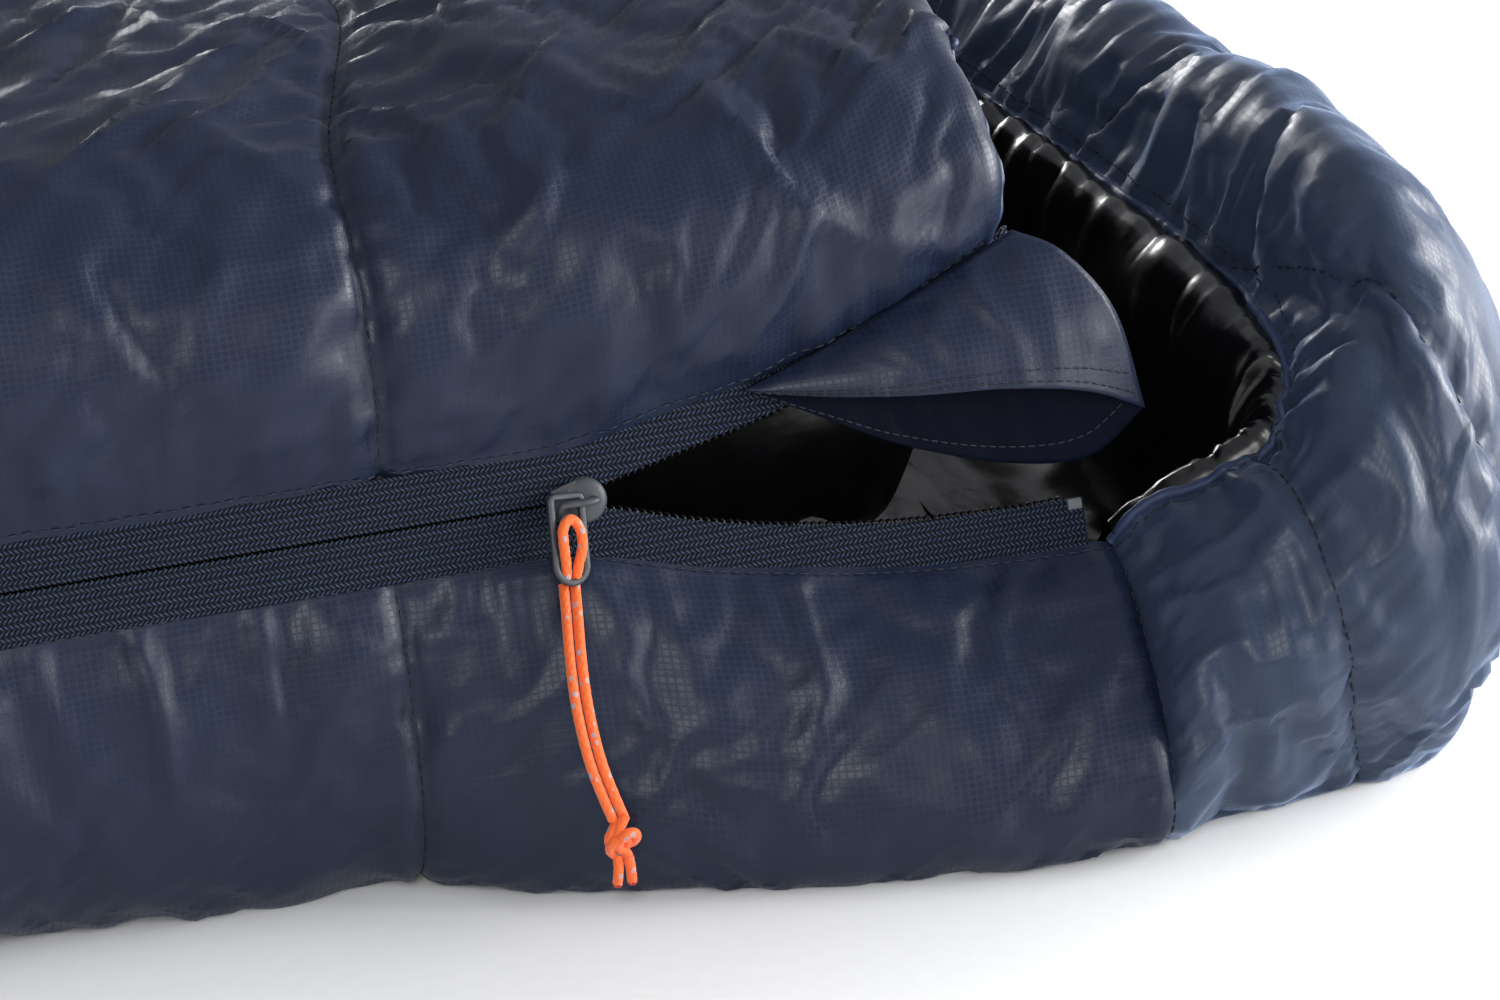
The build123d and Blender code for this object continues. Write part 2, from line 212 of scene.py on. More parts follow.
def settle(grid, loose, sign, grow=0.045, pressure=0.15, frames=10, cap=3.2):
    """Lets the fabric take up its extra length: cloth that grows a little while its seams stay
    pinned, so it buckles into wrinkles. Only the wrinkles are kept, not the swelling, and no
    point moves further than cap."""
    rows, columns = grid.shape[:2]
    scale = 0.01                      # it is simulated ten times larger than life
    mesh = bpy.data.meshes.new("cloth")
    mesh.from_pydata((grid.reshape(-1, 3) * scale).tolist(), [],
                     grid_faces(rows, columns, flip=sign < 0))
    obj = bpy.data.objects.new("cloth", mesh)
    bpy.context.scene.collection.objects.link(obj)
    pins = obj.vertex_groups.new(name="pins")
    held = np.flatnonzero(loose.ravel() < 0.5)
    pins.add([int(k) for k in held], 1.0, "REPLACE")
    cloth = obj.modifiers.new("cloth", "CLOTH")
    values = cloth.settings
    values.quality, values.mass, values.air_damping = 3, 0.15, 1.0
    values.tension_stiffness = values.compression_stiffness = 40
    values.shear_stiffness, values.bending_stiffness = 15, 0.02
    values.vertex_group_mass = "pins"
    values.shrink_min = values.shrink_max = -grow
    values.use_pressure, values.uniform_pressure_force = True, pressure
    values.effector_weights.gravity = 0
    cloth.point_cache.frame_start, cloth.point_cache.frame_end = 1, frames
    scene = bpy.context.scene
    for number in range(1, frames + 1):
        scene.frame_set(number)
    evaluated = obj.evaluated_get(bpy.context.evaluated_depsgraph_get())
    flat = np.zeros(rows * columns * 3)
    evaluated.data.vertices.foreach_get("co", flat)
    scene.frame_set(1)
    bpy.data.objects.remove(obj)
    bpy.data.meshes.remove(mesh)
    moved = flat.reshape(rows, columns, 3) / scale - grid
    moved = moved - 0.85 * blur(moved, 24)
    size = np.linalg.norm(moved, axis=2, keepdims=True)
    return grid + moved * cap * np.tanh(size / cap) / np.maximum(size, 1e-9)


def chamber(across, size, height):
    """Puffed profile between two seams, across being the distance from the nearer one."""
    t = np.clip(across / size, 0, 1)
    return height * (1 - (1 - t) ** 2.4)


def seam_groove(away, depth=2.4, wide=2.6):
    return -depth * np.exp(-(away / wide) ** 2)


# ---- meshes ---------------------------------------------------------------------------
def set_uv(mesh, uv):
    """Gives each point of the mesh its place on the fabric."""
    layer = mesh.uv_layers.new(name="fabric")
    index = np.zeros(len(mesh.loops), int)
    mesh.loops.foreach_get("vertex_index", index)
    layer.data.foreach_set("uv", (np.asarray(uv, float)[index] * MM).ravel())


def add_object(name, points, faces, uv=None, smooth=True):
    mesh = bpy.data.meshes.new(name)
    mesh.from_pydata((np.asarray(points, float) * MM).tolist(), [], faces)
    if uv is not None:
        set_uv(mesh, uv)
    mesh.polygons.foreach_set("use_smooth", [smooth] * len(mesh.polygons))
    mesh.update()
    obj = bpy.data.objects.new(name, mesh)
    bpy.context.scene.collection.objects.link(obj)
    return obj


def grid_faces(rows, columns, start=0, flip=False, close_rows=False, close_columns=False):
    faces = []
    for i in range(rows if close_rows else rows - 1):
        for j in range(columns if close_columns else columns - 1):
            i2, j2 = (i + 1) % rows, (j + 1) % columns
            face = [start + i * columns + j, start + i2 * columns + j,
                    start + i2 * columns + j2, start + i * columns + j2]
            faces.append(face[::-1] if flip else face)
    return faces


def grid_normals(grid):
    """Unit normal at every point of a grid of points."""
    du, dv = np.gradient(grid, axis=0), np.gradient(grid, axis=1)
    n = np.cross(du, dv)
    size = np.linalg.norm(n, axis=2, keepdims=True)
    return n / np.maximum(size, 1e-9)


def add_sheet(name, grid, uv, flip=False):
    rows, columns = grid.shape[:2]
    return add_object(name, grid.reshape(-1, 3), grid_faces(rows, columns, flip=flip),
                      uv.reshape(-1, 2))


def add_slab(name, outer, inner):
    """Closed volume between two grids of the same shape."""
    rows, columns = outer.shape[:2]
    count = rows * columns
    faces = grid_faces(rows, columns) + grid_faces(rows, columns, start=count, flip=True)
    ring = ([(i, 0) for i in range(rows)] + [(rows - 1, j) for j in range(1, columns)]
            + [(i, columns - 1) for i in range(rows - 2, -1, -1)]
            + [(0, j) for j in range(columns - 2, 0, -1)])
    ids = [i * columns + j for i, j in ring]
    for a, b in zip(ids, ids[1:] + ids[:1]):
        faces.append([b, a, a + count, b + count])
    return add_object(name, np.vstack([outer.reshape(-1, 3), inner.reshape(-1, 3)]), faces)


def tube(name, line, radius, sides=12, relief=None):
    """Tube along a line of points. relief(angle, length) is added to the radius."""
    line = np.asarray(line, float)
    tangent = np.gradient(line, axis=0)
    tangent /= np.linalg.norm(tangent, axis=1, keepdims=True)
    frames, normal = [], np.cross(tangent[0], (0.31, 0.87, 0.38))
    for t in tangent:
        normal = normal - t * normal.dot(t)
        normal /= np.linalg.norm(normal)
        frames.append((normal.copy(), np.cross(t, normal)))
    turn = np.linspace(0, 2 * math.pi, sides, endpoint=False)
    s = run_lengths(line)
    r = np.full((len(line), sides), 1.0) * np.reshape(radius, (-1, 1))
    if relief is not None:
        r = r + relief(turn[None, :], s[:, None])
    n = np.array([f[0] for f in frames])[:, None, :]
    b = np.array([f[1] for f in frames])[:, None, :]
    shell = line[:, None, :] + r[:, :, None] * (n * np.cos(turn)[None, :, None]
                                                + b * np.sin(turn)[None, :, None])
    points, faces = shell.reshape(-1, 3), grid_faces(len(line), sides, close_columns=True)
    uv = np.stack(np.broadcast_arrays(s[:, None], turn[None, :] * 10), 2).reshape(-1, 2)
    faces = faces + [list(range(sides))[::-1],
                     [(len(line) - 1) * sides + k for k in range(sides)]]
    return add_object(name, points, [f[::-1] for f in faces], uv)


def join(name, parts):
    """One object from several, with the first one's material."""
    bpy.ops.object.select_all(action="DESELECT")
    for part in parts:
        part.select_set(True)
    bpy.context.view_layer.objects.active = parts[0]
    bpy.ops.object.join()
    parts[0].name = name
    return parts[0]


def stitches(name, runs, material, pitch=3.6, length=2.5, radius=0.32):
    """Thread along seam lines: one small rounded capsule for each stitch that shows."""
    rings, sides = 4, 5
    along = np.array([-0.5, -0.28, 0.28, 0.5]) * length
    girth = np.array([0.35, 1.0, 1.0, 0.35]) * radius
    turn = np.linspace(0, 2 * math.pi, sides, endpoint=False)
    points, faces = [], []
    for line in runs:
        total = run_lengths(line)[-1]
        places = at_lengths(line, np.arange(pitch / 2, total, pitch))
        heads = at_lengths(line, np.minimum(np.arange(pitch / 2, total, pitch) + 0.5, total))
        for place, head in zip(places, heads):
            t = head - place
            if np.linalg.norm(t) < 1e-6:
                continue
            t /= np.linalg.norm(t)
            n = np.cross(t, (0.29, 0.13, 0.95))
            n /= np.linalg.norm(n)
            b = np.cross(t, n)
            start = len(points)
            for a, g in zip(along, girth):
                for c in turn:
                    points.append(place + t * a + (n * math.cos(c) + b * math.sin(c)) * g)
            faces += grid_faces(rings, sides, start=start, flip=True, close_columns=True)
            faces.append([start + k for k in range(sides)])
            faces.append([start + (rings - 1) * sides + k for k in range(sides)][::-1])
    obj = add_object(name, np.array(points), faces)
    return finish_piece(obj, material, "bag")


def finish_piece(obj, material, body, nodes=()):
    obj.data.materials.clear()
    obj.data.materials.append(MATERIALS[material])
    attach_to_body(obj, body)
    if nodes:
        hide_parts(*nodes)
    return obj


# ---- materials --------------------------------------------------------------------------
class Nodes:
    """Short form for building a node tree."""

    def __init__(self, name):
        self.material = bpy.data.materials.new(name)
        self.material.use_nodes = True
        self.tree = self.material.node_tree
        self.tree.nodes.clear()
        self.out = self.add("ShaderNodeOutputMaterial")

    def add(self, kind, **values):
        node = self.tree.nodes.new(kind)
        for key, value in values.items():
            setattr(node, key, value)
        return node

    def put(self, socket, value):
        if isinstance(value, bpy.types.NodeSocket):
            self.tree.links.new(value, socket)
        elif value is not None:
            socket.default_value = value

    def math(self, operation, *values):
        node = self.add("ShaderNodeMath", operation=operation)
        for socket, value in zip(node.inputs, values):
            self.put(socket, value)
        return node.outputs[0]

    def uv(self):
        split = self.add("ShaderNodeSeparateXYZ")
        self.put(split.inputs[0], self.add("ShaderNodeUVMap", uv_map="fabric").outputs[0])
        return split.outputs[0], split.outputs[1]

    def position(self):
        return self.add("ShaderNodeTexCoord").outputs["Object"]

    def noise(self, scale, detail=3.0, vector=None, roughness=0.55):
        node = self.add("ShaderNodeTexNoise")
        self.put(node.inputs["Vector"], vector or self.position())
        node.inputs["Scale"].default_value = scale
        node.inputs["Detail"].default_value = detail
        node.inputs["Roughness"].default_value = roughness
        return node.outputs[0]

    def line_grid(self, coordinate, period, sharp):
        """Thin bright lines, one per period."""
        turns = self.math("MULTIPLY", coordinate, math.pi / (period * MM))
        value = self.math("ABSOLUTE", self.math("COSINE", turns))
        return self.math("POWER", value, sharp)

    def mix(self, factor, a, b):
        node = self.add("ShaderNodeMix", data_type="RGBA")
        self.put(node.inputs[0], factor)
        self.put(node.inputs[6], a)
        self.put(node.inputs[7], b)
        return node.outputs[2]

    def bump(self, height, strength, distance, normal=None):
        node = self.add("ShaderNodeBump")
        node.inputs["Strength"].default_value = strength
        node.inputs["Distance"].default_value = distance * MM
        self.put(node.inputs["Height"], height)
        if normal is not None:
            self.put(node.inputs["Normal"], normal)
        return node.outputs[0]

    def surface(self, **values):
        shader = self.add("ShaderNodeBsdfPrincipled")
        for key, value in values.items():
            self.put(shader.inputs[key.replace("_", " ")], value)
        self.tree.links.new(shader.outputs[0], self.out.inputs[0])
        return self.material


def colour(red, green, blue):
    """Linear colour from the usual 0 to 255 screen values."""
    channel = lambda c: (c / 255 / 12.92 if c <= 10 else ((c / 255 + 0.055) / 1.055) ** 2.4)
    return (channel(red), channel(green), channel(blue), 1.0)


def nylon(name, base, light, roughness, sheen, grid=1.0, gloss=0.3):
    """Thin calendered ripstop: a fine plain weave with a raised grid of thicker threads."""
    n = Nodes(name)
    u, v = n.uv()
    threads = n.math("MAXIMUM", n.line_grid(u, 1.9, 9), n.line_grid(v, 1.75, 9))
    weave = n.math("MULTIPLY", n.line_grid(u, 0.42, 1), n.line_grid(v, 0.42, 1))
    crinkle = n.noise(420, 6, roughness=0.62)
    crumple = n.add("ShaderNodeTexNoise", noise_type="RIDGED_MULTIFRACTAL")
    n.put(crumple.inputs["Vector"], n.position())
    for key, value in (("Scale", 34), ("Detail", 5), ("Roughness", 0.45), ("Lacunarity", 2.1),
                       ("Distortion", 0.9)):
        crumple.inputs[key].default_value = value
    patch = n.noise(24, 3)
    tone = n.math("MULTIPLY_ADD", threads, 0.22 * grid, n.math("MULTIPLY", patch, 0.45))
    shade = n.mix(tone, base, light)
    normal = n.bump(weave, 0.12, 0.06)
    normal = n.bump(threads, 0.16 * grid, 0.08, normal)
    normal = n.bump(crinkle, 0.22, 0.4, normal)
    normal = n.bump(crumple.outputs[0], 0.6, 2.0, normal)
    rough = n.math("MULTIPLY_ADD", n.noise(60, 4), 0.22,
                   n.math("MULTIPLY_ADD", threads, 0.12, roughness - 0.1))
    return n.surface(Base_Color=shade, Roughness=rough, Normal=normal, Sheen_Weight=sheen,
                     Sheen_Roughness=0.35, Sheen_Tint=colour(150, 170, 205),
                     Specular_IOR_Level=gloss)


def knit(name, base, light):
    """Knitted zip tape: rows of chevrons, with a painted highlight on the crests of the loops."""
    n = Nodes(name)
    u, v = n.uv()
    row = n.math("PINGPONG", n.math("MULTIPLY", v, 1 / (1.5 * MM)), 1.0)
    slant = n.math("MULTIPLY_ADD", row, 0.9, n.math("MULTIPLY", u, 1 / (1.3 * MM)))
    loops = n.math("ABSOLUTE", n.math("SINE", n.math("MULTIPLY", slant, math.pi)))
    height = n.math("MULTIPLY", loops, n.math("MULTIPLY_ADD", n.line_grid(v, 1.5, 3), -0.6, 1.0))
    fuzz = n.noise(1500, 3)
    # Painted highlight: the lighter colour is laid on the crests of the loops to stand in for light
    # catching them. The fuzz noise varies it at random.
    loop_highlight = n.math("POWER", n.math("MULTIPLY", height, n.math("ADD", fuzz, 0.45)), 2.2)
    normal = n.bump(height, 1.0, 0.5, n.bump(fuzz, 0.3, 0.1))
    return n.surface(Base_Color=n.mix(loop_highlight, base, light), Roughness=0.6, Normal=normal,
                     Specular_IOR_Level=0.12)


def lining(name):
    n = Nodes(name)
    u, v = n.uv()
    weave = n.math("MULTIPLY", n.line_grid(u, 0.35, 1), n.line_grid(v, 0.35, 1))
    normal = n.bump(n.noise(70, 3), 0.30, 1.6, n.bump(weave, 0.1, 0.05))
    shade = n.mix(n.noise(30, 2), colour(4, 5, 7), colour(9, 10, 13))
    return n.surface(Base_Color=shade, Roughness=0.27, Normal=normal, Specular_IOR_Level=0.62)


def braid(name):
    """Braided cord: slanted strands, with pale flecks worked in."""
    n = Nodes(name)
    u, v = n.uv()
    strands = n.noise(2400, 3)
    cells = n.add("ShaderNodeTexVoronoi", feature="F1")
    n.put(cells.inputs["Vector"], n.position())
    cells.inputs["Scale"].default_value = 330
    fleck = n.math("LESS_THAN", cells.outputs["Distance"], 0.26)
    body = n.mix(strands, colour(226, 84, 18), colour(252, 116, 38))
    shade = n.mix(n.math("MULTIPLY", fleck, 0.85), body, colour(158, 152, 156))
    return n.surface(Base_Color=shade, Roughness=0.62, Normal=n.bump(strands, 0.35, 0.12),
                     Sheen_Weight=0.25, Sheen_Roughness=0.5)


def solid(name, dark, light, roughness, grain=700, metallic=0.0, depth=0.08, spread=0.2):
    """Moulded or coated surface with fine grain and worn, slightly lighter places."""
    n = Nodes(name)
    wear = n.math("POWER", n.noise(190, 5), 1.6)
    rough = n.math("MULTIPLY_ADD", n.noise(grain / 3, 4), spread, roughness - spread / 2)
    return n.surface(Base_Color=n.mix(wear, dark, light), Roughness=rough, Metallic=metallic,
                     Normal=n.bump(n.noise(grain, 4), 0.4, depth))


MATERIALS = {
    "nylon": nylon("navy_ripstop", colour(18, 27, 46), colour(29, 40, 63), 0.33, 0.05),
    # Painted light: the hood is the same navy ripstop as the body, given lighter, greyer colours to stand
    # in for the sheen of light on it.
    "nylon_hood_painted_sheen": nylon("navy_ripstop_hood_painted_sheen", colour(38, 49, 69), colour(56, 68, 90), 0.32, 0.7,
                        grid=0.4),
    "lining": lining("black_taffeta"),
    # Painted shade: the inside face of the same navy ripstop, made much darker to stand in for the shade
    # under the garage flap.
    "nylon_inside_painted_shade": nylon("navy_ripstop_inside_painted_shade", colour(5, 8, 20), colour(9, 14, 34), 0.5, 0.0,
                          gloss=0.05),
    "tape": knit("zip_tape_knit", colour(4, 7, 13), colour(60, 74, 98)),
    "coil": solid("zip_coil_nylon", colour(6, 7, 9), colour(16, 18, 22), 0.26, depth=0.02),
    "stop": solid("zip_stop_plastic", colour(60, 64, 70), colour(104, 108, 114), 0.42),
    "slider": solid("slider_coating", colour(44, 47, 52), colour(84, 88, 94), 0.44, grain=1500,
                    depth=0.06),
    "ring": solid("pull_ring_coating", colour(34, 37, 42), colour(66, 70, 76), 0.4, grain=1500,
                  depth=0.05),
    "cord": braid("orange_braid"),
    "melted": solid("cord_end_melted", colour(150, 22, 10), colour(205, 44, 18), 0.35),
    "thread": solid("navy_thread", colour(12, 18, 33), colour(24, 32, 52), 0.6, grain=3000),
    "binding": nylon("navy_edge", colour(30, 42, 70), colour(60, 76, 108), 0.4, 0.4, grid=0.3),
    "batting": solid("polyester_batting", colour(196, 194, 188), colour(226, 224, 218), 0.9,
                     grain=300, depth=0.8),
    "elastic": solid("covered_elastic", colour(24, 25, 30), colour(50, 52, 58), 0.7, grain=2000),
    "floor": solid("pale_floor", colour(246, 246, 246), colour(252, 252, 252), 0.85, grain=60,
                   depth=0.05),
}


# ---- camera -----------------------------------------------------------------------------
def add_camera():
    yaw, down, roll = math.radians(17), math.radians(25), math.radians(2)
    forward = Vector((math.sin(yaw) * math.cos(down), math.cos(yaw) * math.cos(down),
                      -math.sin(down)))
    right = Vector((math.cos(yaw), -math.sin(yaw), 0))
    up = right.cross(forward)
    right, up = (right * math.cos(roll) - up * math.sin(roll),
                 right * math.sin(roll) + up * math.cos(roll))
    data = bpy.data.cameras.new("camera")
    data.lens, data.sensor_width = 115.2, 36.0
    data.clip_start, data.clip_end = 0.05, 30
    camera = bpy.data.objects.new("camera", data)
    bpy.context.scene.collection.objects.link(camera)
    turn = Matrix((right, up, -forward)).transposed().to_4x4()
    camera.matrix_world = Matrix.Translation(Vector((358.5, -1453.7, 603.1)) * MM) @ turn
    bpy.context.scene.camera = camera


# ---- cross-sections of the bag ------------------------------------------------------------
def zip_point(x, across, out):
    """World point on the zip: across runs up the tape, out is proud of its face."""
    x, across, out = np.broadcast_arrays(*(np.asarray(a, float) for a in (x, across, out)))
    return np.stack([x, ZIP_Y + across * math.sin(ZIP_TILT) - out * math.cos(ZIP_TILT),
                     ZIP_Z + across * math.cos(ZIP_TILT) + out * math.sin(ZIP_TILT)], -1)


def straight(across):
    """The closed stretch of a hem or lip, from beyond the foot to just before the slider."""
    return [(x, across) for x in (-2000, 540, 600)]


# Across the zip's face at places along it, on each side of the chain.
UPPER_HEM = straight(10.8) + [(629, 11.2), (655, 16.5), (684, 22.0), (712, 30.0), (753, 48.0),
                              (800, 66.0)]
LOWER_HEM = straight(-10.8) + [(629, -10.9), (667, -20.8), (707, -28.2), (748, -31.2),
                               (790, -30.5)]
UPPER_LIP = straight(0.8) + [(633, 0.9), (644, 3.5), (667, 9.0), (684, 13.0), (712, 22.0),
                             (753, 38.0), (790, 52.0)]
LOWER_LIP = straight(-0.8) + [(633, -0.9), (644, -3.5), (667, -10.2), (707, -17.6),
                              (748, -20.2), (790, -19.4)]

TOP_NEAR = [(-396, 107), (-399, 128), (-396, 150), (-384, 170), (-356, 185), (-300, 192),
            (-220, 195), (-110, 197), (0, 197)]
TOP_FAR = [(110, 197), (220, 195), (300, 192), (356, 185), (388, 166), (402, 135), (404, 97)]


def top_sections(x, rows_near, rows_far):
    """Points of the top quilt's seam surface: rows run from the zip over to the far side."""
    line = catmull(TOP_NEAR + TOP_FAR)
    s = run_lengths(line)
    rising = slice(0, int(np.argmax(line[:, 1] > 189)))
    split = s[int(np.argmax(line[:, 0] > -150))]
    hem = zip_point(x, follow(x, UPPER_HEM), 0.9)
    start = np.interp(hem[:, 2], line[rising, 1], s[rising])
    rows = []
    for point, s0 in zip(hem, start):
        wanted = np.concatenate([s0 + (split - s0) * rows_near, split + (s[-1] - split) * rows_far])
        yz = at_lengths(line, wanted)
        shift = (point[1:] - yz[0]) * np.exp(-(wanted - s0) / 16)[:, None]
        rows.append(np.hstack([np.full((len(yz), 1), point[0]), yz + shift]))
    return np.array(rows)


def floor_half(x):
    return follow(x, [(-1100, 396), (300, 392), (440, 388), (500, 388), (545, 399), (587, 403),
                      (620, 419), (655, 431), (705, 444), (735, 449), (767, 450), (800, 450)])


def bulge_half(x):
    return follow(x, [(-1100, 428), (300, 416), (440, 412), (500, 412), (587, 419), (640, 431),
                      (700, 445), (767, 460), (800, 464)])


def bezier(a, b, c, d, t):
    t = np.asarray(t)[:, None]
    a, b, c, d = (np.asarray(p, float) for p in (a, b, c, d))
    return a * (1 - t) ** 3 + 3 * b * t * (1 - t) ** 2 + 3 * c * t * t * (1 - t) + d * t ** 3


def base_side(hem, floor, bulge, fractions):
    """Side of the base quilt, from the zip's hem down to where it meets the ground."""
    start = -hem[0]
    reach = (bulge - 0.125 * (start + floor) - 0.1875 * start) / 0.5625
    line = bezier(hem, (-0.5 * (start + reach), hem[1] * 0.7), (-reach, 7), (-floor, GROUND),
                  np.linspace(0, 1, 80))
    return at_fractions(line, fractions)


def neck_lean(z):
    """How far the seam between base and hood leans towards the head at height z."""
    return 5.0 * ease(z / 65)


def base_sections(x, rows_side, rows_floor, rows_far):
    rows = []
    hem = zip_point(x, follow(x, LOWER_HEM), 0.9)
    for point, floor, bulge in zip(hem, floor_half(x), bulge_half(x)):
        near = base_side(point[1:], floor, bulge, rows_side)
        far = base_side(FAR_HEM, FAR_FLOOR, FAR_BULGE, 1 - rows_far) * (-1, 1)
        flat_y = -floor + (floor + FAR_FLOOR) * rows_floor
        flat = np.stack([flat_y, np.full(len(flat_y), GROUND)], 1)
        yz = np.vstack([near, flat, far])
        rows.append(np.hstack([np.full((len(yz), 1), point[0]), yz]))
    return np.array(rows)


def columns(end):
    """Places along the bag from the neck to the foot's roll: fine near the head, and always
    on the seams. Returns them with the distance to the nearer seam and the room between them."""
    stops = [end] + SEAMS + [FOOT_X + FOOT_R - 20]
    x, away, room = [], [], []
    for k, (a, b) in enumerate(zip(stops, stops[1:])):
        gap = a - b
        step = 3.0 if k < 2 else 9.0
        t = np.linspace(0, 1, int(round(gap / step)) + 1)[:-1]
        if k >= 2:
            t = 0.6 * t + 0.4 * (0.5 - 0.5 * np.cos(math.pi * t))
        x += list(a - gap * t)
        near = np.minimum(t if 0 < k else np.full_like(t, 9), 1 - t) * gap
        away += list(near)
        room += [gap / 2] * len(t)
    return np.array(x + [stops[-1]]), np.array(away + [0.0]), np.array(room + [room[-1]])


def roll_foot(grid):
    """Adds the foot end: the last section rolls over and closes on the foot seam."""
    last = grid[-1]
    extra = []
    for k in range(1, FOOT_STEPS + 1):
        turn = 0.5 * math.pi * k / FOOT_STEPS
        corner = np.clip(1 - np.abs(last[:, 1] / 446) ** 7, 0, 1) ** 0.5
        ring = last.copy()
        ring[:, 0] = last[:, 0] - (last[:, 0] - FOOT_X) * math.sin(turn) * corner
        ring[:, 1] = last[:, 1] * (1 - 0.03 * (1 - math.cos(turn)))
        ring[:, 2] = ZIP_Z + (last[:, 2] - ZIP_Z) * math.cos(turn) ** 0.8
        extra.append(ring)
    return np.concatenate([grid, np.array(extra)])


def lengths_across(grid):
    """Length from the first row to each point, along every section of the grid."""
    steps = np.linalg.norm(np.diff(grid, axis=1), axis=2)
    return np.concatenate([np.zeros((len(grid), 1)), np.cumsum(steps, axis=1)], axis=1)


def fabric_uv(grid, along):
    """Real lengths on the fabric: along the bag, and across from the first row."""
    return np.stack(np.broadcast_arrays(along[:, None], lengths_across(grid)), 2)


def extended(values, step):
    """The values carried on over the foot's roll by even steps."""
    return np.concatenate([values, values[-1] + step * np.arange(1, FOOT_STEPS + 1)])


def with_foot(seam, x, away, room):
    """The seam surface closed at the foot, its places on the fabric, and for each point the
    distance to the free edge, to the nearer seam, and the room between seams."""
    seam = roll_foot(seam)
    along = extended(x, -FOOT_STEP)
    uv = fabric_uv(seam, along)
    v = uv[:, :, 1]
    edge = np.minimum(v, v[:, -1:] - v)
    d = np.broadcast_to(extended(away, FOOT_STEP)[:, None], v.shape)
    return seam, along, uv, edge, d, extended(room, 0)


# ---- top quilt ----------------------------------------------------------------------------
def neck_roll(grid, depth, sign):
    """Adds the rounded neck edge in front of the first section, turning in by depth."""
    normals = grid_normals(grid)[0] * sign
    first = grid[0]
    depth = np.reshape(depth, (-1, 1))
    extra = []
    for k in range(ROLL_STEPS, 0, -1):
        turn = 0.5 * math.pi * k / ROLL_STEPS
        ring = first - normals * depth * (1 - math.cos(turn))
        ring[:, 0] = first[:, 0] + 0.75 * np.abs(depth[:, 0]) * math.sin(turn)
        extra.append(ring)
    return np.concatenate([np.array(extra), grid])


def build_top():
    x, away, room = columns(TOP_NECK_X - 9)
    rows_near = np.linspace(0, 1, 100)
    rows_far = np.linspace(0, 1, 66)[1:]
    seam = top_sections(x, rows_near, rows_far)
    y = seam[:, :, 1]
    # The seam nearest the neck leans towards the head over the top, and the neck edge waves.
    lean = 24 * ease((y + 372) / 105) * np.clip((x[:, None] - 200) / 387, 0, 1)
    lean = lean * np.where(x[:, None] > 587, (TOP_NECK_X - x[:, None]) / 170, 1).clip(0, 1)
    seam[:, :, 0] += lean
    s = np.concatenate([[0], np.cumsum(np.linalg.norm(np.diff(seam[0], axis=0), axis=1))])
    wave = 3.5 * noise(s / 55, 0.3, 41) + 1.5 * noise(s / 17, 0.7, 42)
    seam[:, :, 0] += wave * ease((x[:, None] - 640) / 110)

    seam, along, uv, edge, d, room = with_foot(seam, x, away, room)
    u, v = uv[:, :, 0], uv[:, :, 1]

    puff = chamber(d, room[:, None], 4.0)
    height = puff * (1 - np.exp(-((edge - 3.5).clip(0) / 14) ** 1.2)) - 1.2
    height += seam_groove(d, 2.6) + puckers(v, d, 100, 0.9)
    height += puckers(u, (edge - 3).clip(0), 130, 0.75) * (edge > 3)
    wall = ease((edge - 6) / 20)
    height += creases(u, v, (430, 760, 10, 330), 120, 7, angle=(25, 80), height=3.6) * wall
    height += creases(u, v, (430, 760, 10, 330), 60, 8, angle=(-80, -35), height=2.6) * wall
    height += creases(u, v, (-1040, 430, 10, 1000), 260, 9, angle=(20, 80), length=(40, 110),
                      width=(5, 11), height=1.8) * wall
    height += creases(u, v, (430, 760, 330, 1000), 120, 10, angle=(20, 80), length=(40, 110),
                      width=(5, 11), height=1.6) * wall
    height += soft_folds(u, v, 11, 1.5) * wall * ease(d / 18)
    height *= ease((u - (FOOT_X - 40)) / 60)
    outer = seam + grid_normals(seam) * height[:, :, None] * outward_sign(seam)
    loose = (d > 1.4) & (edge > 4.2)
    loose[0] = loose[-1] = False
    outer = settle(outer, loose, outward_sign(seam))
    thick = 3 + (LOFT - 1) * (1 - np.exp(-(edge / 16) ** 1.3))
    inner = seam - grid_normals(seam) * thick[:, :, None] * outward_sign(seam)

    sign = outward_sign(outer)
    shell = neck_roll(outer, 0.5 * thick[0], sign)
    shell_uv = fabric_uv(shell, np.concatenate([along[0] + 3.0 * np.arange(ROLL_STEPS, 0, -1),
                                                along]))
    obj = add_sheet("top_shell_fabric", shell, shell_uv, flip=sign < 0)
    finish_piece(obj, "nylon", "bag", nodes=["top_shell"])
    slack = soft_folds(u, v, 51, 3.0) + creases(u, v, (300, 760, 0, 1000), 60, 52, height=3,
                                                width=(4, 9))
    inner = inner + grid_normals(seam) * (slack * ease(edge / 30))[:, :, None] * sign
    inside = neck_roll(inner, -0.46 * thick[0], sign)
    obj = add_sheet("top_lining_fabric", inside[:, ::2], shell_uv[:, ::2], flip=sign > 0)
    finish_piece(obj, "lining", "bag", nodes=["top_lining"])
    normals = grid_normals(seam) * sign
    pick = (slice(0, -FOOT_STEPS + 4, 3), slice(int(np.argmax(v[0] > 24)),
                                                -int(np.argmax(edge[0][::-1] > 24)), 3))
    obj = add_slab("top_batting", (seam - normals * 6)[pick], (seam - normals * (LOFT - 5))[pick])
    finish_piece(obj, "batting", "bag", nodes=["top_insulation"])
    return {"outer": outer, "x": x, "normals": normals, "roll": shell}


def outward_sign(grid):
    """+1 where grid_normals points out of the bag, -1 where it points into it."""
    middle = grid.reshape(-1, 3).mean(0)
    facing = ((grid - middle) * grid_normals(grid)).sum()
    return 1.0 if facing > 0 else -1.0


